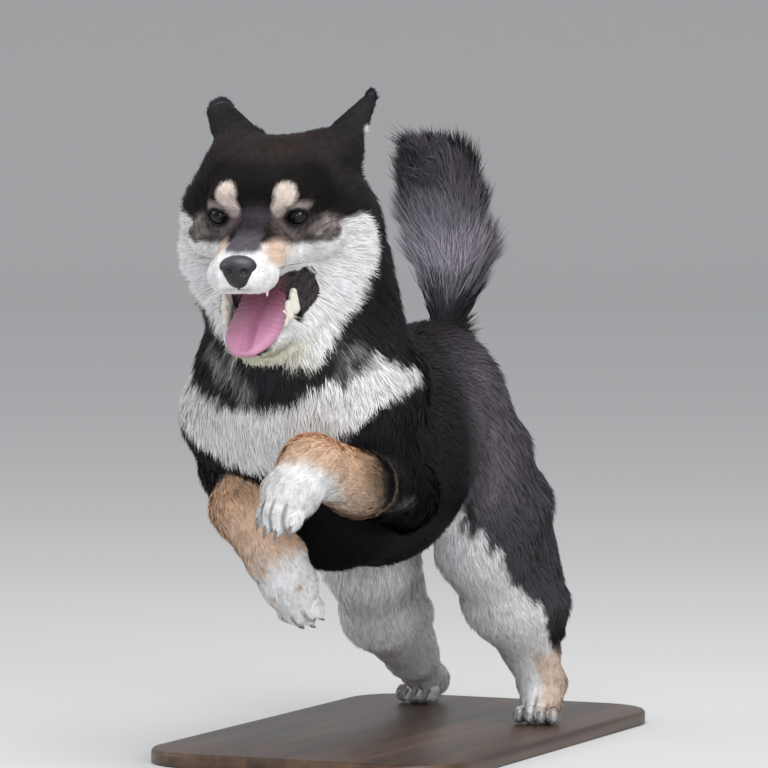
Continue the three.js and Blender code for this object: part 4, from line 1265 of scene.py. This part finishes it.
# painted light: the nose leather is paler on its top, where light from above catches it
up = head_coords(P)[:, 2]
put_color(nose, tinted(np.tile(NOSE_DARK, (len(P), 1)), NOSE_TOP_LIT, soft(-27, -21, up)))
settle(nose, nose_mat, "nose_leather", "nose")

TONGUE = [(2, 8, -61, 5), (5, -21, -72, 6), (3, -46, -84, 6.2), (2, -57, -90, 4.6), (1, -65, -94, 2.6)]


def rounded(knots, times):
    """The knots of a chain with its corners cut again and again, so that it runs smoothly."""
    knots = np.array(knots, float)
    for _ in range(times):
        a, b = knots[:-1], knots[1:]
        between = np.stack([0.75 * a + 0.25 * b, 0.25 * a + 0.75 * b], 1).reshape(-1, knots.shape[1])
        knots = np.concatenate([knots[:1], between, knots[-1:]])
    return knots


knots = [(*head_point(*k[:3]), k[3]) for k in rounded(TONGUE, 2)]
tongue_body = joined(0.8, *chain(knots, HEAD_LEFT, 3.4))
groove = [(*head_point(x, y, z + r + 1.5), 2.2) for x, y, z, r in rounded(TONGUE, 2)[:-2]]
tongue, P = fine("tongue_flesh", scooped(5, tongue_body, *chain(groove)), 1.3)
tongue_mat = marked("tongue", 0.34, 0.5, 350, 0.08, Subsurface_Weight=0.25, Subsurface_Scale=0.004)
add_bump(tongue_mat, 0.35, 0.0004, 1500, 2)
TONGUE_TIP = np.array([0.50, 0.215, 0.33])
TONGUE_ROOT_SHADE = np.array([0.27, 0.10, 0.15])
TONGUE_GROOVE_SHADE = np.array([0.40, 0.15, 0.22])
x, y, _ = head_coords(P).T
# painted shade: the tongue is darker toward its root, deep in the mouth, and along its middle groove
color = tinted(np.tile(TONGUE_TIP, (len(P), 1)), TONGUE_ROOT_SHADE, soft(-52, -10, y))
color = tinted(color, TONGUE_GROOVE_SHADE, 0.5 * soft(6, 1, np.abs(x - 3)) * soft(-62, -45, y))
put_color(tongue, color)
settle(tongue, tongue_mat, "tongue", "tongue")

# Each tooth: place, radius and height, up or down, and how far it is drawn out along the jaw
TEETH = [
    (17, -50, -41, 3.0, 12, -1, 1.0),
    (26, -2, -71, 5.2, 15.5, 1, 1.3),
    (24, -12, -75, 4.6, 12, 1, 1.25),
    (22.5, -21, -78, 3.8, 9, 1, 1.15),
]
IVORY = (0.74, 0.70, 0.60)
crowns = []
for side in (LEFT, RIGHT):
    for x, y, z, radius, height, up, long in TEETH:
        molar = long > 1
        blunt = 0.55 * radius if molar else 0.8
        root, tip = head_point(side * x, y, z), head_point(side * x, y + 1, z + up * (height - blunt))
        crowns.append(tube(root, tip, radius, blunt, HEAD_BACK, long))
        for step in (-1, 1) if molar else ():
            foot = head_point(side * x, y + step * 2, z)
            cusp = head_point(side * x, y + step * radius * 1.1, z + up * (height - 4.5))
            crowns.append(tube(foot, cusp, radius * 0.75, 1.3))
teeth, P = fine("teeth", joined(1.5, *crowns), 0.9)
tooth_mat = marked("tooth", 0.22, 0.5, 200, 0.06, Subsurface_Weight=0.15, Subsurface_Scale=0.002)
put_color(teeth, np.tile(IVORY, (len(P), 1)))
settle(teeth, tooth_mat, "tooth")


def put_together(name, parts):
    """One mesh from the corners and faces of several parts."""
    first = np.cumsum([0] + [len(P) for P, _ in parts])
    faces = [faces + start for (_, faces), start in zip(parts, first)]
    P = np.concatenate([P for P, _ in parts])
    return mesh_object(name, P, np.concatenate(faces)), P


CLAW_LENGTH, CLAW_RADIUS, CLAW_ROOT, CLAW_BEND = 10, 1.8, 4, 3
HORN = (0.20, 0.175, 0.165)
parts = []
for leg in LEGS:
    for toe in leg.toes:
        way = unit(leg.along - 0.35 * leg.back)
        root = toe + 10 * leg.along + 2 * leg.back - CLAW_ROOT * way
        axes = np.array([leg.across, np.cross(way, leg.across), way])
        rings = [(0, 0), (CLAW_RADIUS, 0)]
        for t in np.linspace(0, 1, 9)[1:]:
            rings.append((CLAW_RADIUS * math.sqrt(max(0, 1 - t**1.6)), t * CLAW_LENGTH))
        P, faces = lathed(root, axes, rings, 12)
        t = (P - root) @ way / CLAW_LENGTH
        parts.append((P - CLAW_BEND * (t**2)[:, None] * leg.back, faces))
claws, P = put_together("claws", parts)
claw_mat = marked("claw", 0.3, 0.5, 220, 0.35)
put_color(claws, np.tile(HORN, (len(P), 1)))
settle(claws, claw_mat, "claw", *[n for n in NODES if n.startswith("claw")])

WHISKER_COLOR, WHISKER_RADIUS, WHISKER_TIP = (0.05, 0.045, 0.045), 0.2, 0.03
WHISKER_SIDES, WHISKER_RINGS = (0, 2.1, 4.2), 8
parts = []
for side in (LEFT, RIGHT):
    for row in range(3):
        for place in range(4):
            root = head_point(side * (15.5 + 0.8 * place), -60 + 6.5 * place, -33.5 - row * DOT_ROW)
            way = HEAD_LEFT * side * 0.85 + HEAD_BACK * (0.45 + 0.1 * place) + HEAD_UP * (0.15 - 0.25 * row)
            way = unit(way + rng.normal(scale=0.08, size=3))
            droop = -0.25 * HEAD_UP + 0.35 * HEAD_BACK
            reach = 26 + 5 * place + rng.uniform(-3, 3)
            bend = np.cross(way, HEAD_UP)
            out = unit([bend, np.cross(way, bend)])
            P = []
            for t in np.linspace(0, 1, WHISKER_RINGS):
                middle = root + reach * (t * way + 0.3 * t * t * droop)
                radius = WHISKER_RADIUS * (1 - t) + WHISKER_TIP
                P += [middle + radius * (math.cos(a) * out[0] + math.sin(a) * out[1]) for a in WHISKER_SIDES]
            parts.append((np.array(P), walls(WHISKER_RINGS, 3)))
whiskers, P = put_together("whiskers", parts)
put_color(whiskers, np.tile(WHISKER_COLOR, (len(P), 1)))
settle(whiskers, coat_mat, "coat_black")

# The display base: a walnut board with eased edges
base_low, base_high = (np.array(corner) * 1000 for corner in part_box("stand_base"))
CORNER = 50
base_middle, base_half = (base_low + base_high)[:2] / 2, (base_high - base_low)[:2] / 2
outline = []
for cx, cy, start in ((1, 1, 0), (-1, 1, 90), (-1, -1, 180), (1, -1, 270)):
    middle = base_middle + (base_half - CORNER) * (cx, cy)
    for angle in np.radians(np.linspace(start, start + 90, 13)):
        outline.append((*middle, math.cos(angle), math.sin(angle)))
outline = np.array(outline)
top_z = base_high[2]
# How far the board's edge is drawn in, and at what height
edges = [(1.2, 0), (0, 1.2), (0, top_z - 3.5), (0.5, top_z - 1.7), (1.7, top_z - 0.5), (3.5, top_z)]
count, loops = len(outline), []
for drawn, z in edges:
    loops.append(np.column_stack([outline[:, :2] + outline[:, 2:] * (CORNER - drawn), np.full(count, z)]))
P = np.concatenate(loops + [[(*base_middle, 0)], [(*base_middle, top_z)]])
board = mesh_object("base_board", P, closed(len(edges), count), smooth=False)
wood, nodes, links, shader = material("walnut", 0.42, 0.45, Coat_Weight=0.25, Coat_Roughness=0.3)
grain = noise(nodes, links, 55, 6, (1, 0.07, 1), 0.6)
tone = nodes.new("ShaderNodeValToRGB")
DARK_WOOD, PALE_WOOD = (0.035, 0.018, 0.011, 1), (0.13, 0.070, 0.040, 1)
for stop, place, color in zip(tone.color_ramp.elements, (0.35, 0.68), (DARK_WOOD, PALE_WOOD)):
    stop.position, stop.color = place, color
links.new(grain, tone.inputs["Fac"])
links.new(tone.outputs["Color"], shader.inputs["Base Color"])
add_bump(wood, 0.25, 0.0004, 300, 3, (1, 0.05, 1))
settle(board, wood, "base_wood", "stand_base")


# Floor and light, with the lamps' places and sizes in metres
def soft_light(name, place, target, size, power, color=(1, 1, 1)):
    data = bpy.data.lights.new(name, "AREA")
    data.shape, data.size, data.energy, data.color = "DISK", size, power, color
    lamp = bpy.data.objects.new(name, data)
    bpy.context.collection.objects.link(lamp)
    lamp.location = place
    lamp.rotation_mode = "QUATERNION"
    lamp.rotation_quaternion = (Vector(target) - Vector(place)).to_track_quat("-Z", "Y")


# The floor is a wide shallow bowl, whose rim rises past the horizon
RIM, RISE, SIDES = 10000, 1800, 96
profile = [(RIM, 0)]
for a in np.linspace(0.1, 1.5, 14):
    profile.append((RIM + RISE * math.sin(a), RISE * (1 - math.cos(a))))
around = np.linspace(0, 2 * math.pi, SIDES, endpoint=False)
P = [(r * math.cos(a), r * math.sin(a), z) for r, z in profile for a in around] + [(0, 0, 0)]
faces = np.concatenate([walls(len(profile), SIDES), fan(0, SIDES, len(P) - 1)])[:, ::-1]
floor = mesh_object("floor", P, faces)
floor.data.materials.append(material("floor", 0.85, 0.2, (0.70, 0.70, 0.69))[0])

soft_light("sky", (0.6, -0.9, 2.6), (0, 0, 0.3), 2.2, 52)
soft_light("front", (3.1, -2.3, 1.4), (0, -0.1, 0.35), 1.8, 44)
soft_light("eyes", (1.15, -3.3, 0.62), (0, -0.25, 0.43), 0.6, 13, (0.68, 0.80, 1))
soft_light("left", (-2.4, -1.2, 1.4), (0, 0, 0.3), 1.6, 13)
bpy.context.scene.view_settings.view_transform = "Standard"
world = bpy.data.worlds.new("world")
bpy.context.scene.world = world
world.use_nodes = True
world.node_tree.nodes["Background"].inputs["Color"].default_value = (0.80, 0.82, 0.86, 1)
world.node_tree.nodes["Background"].inputs["Strength"].default_value = 0.62
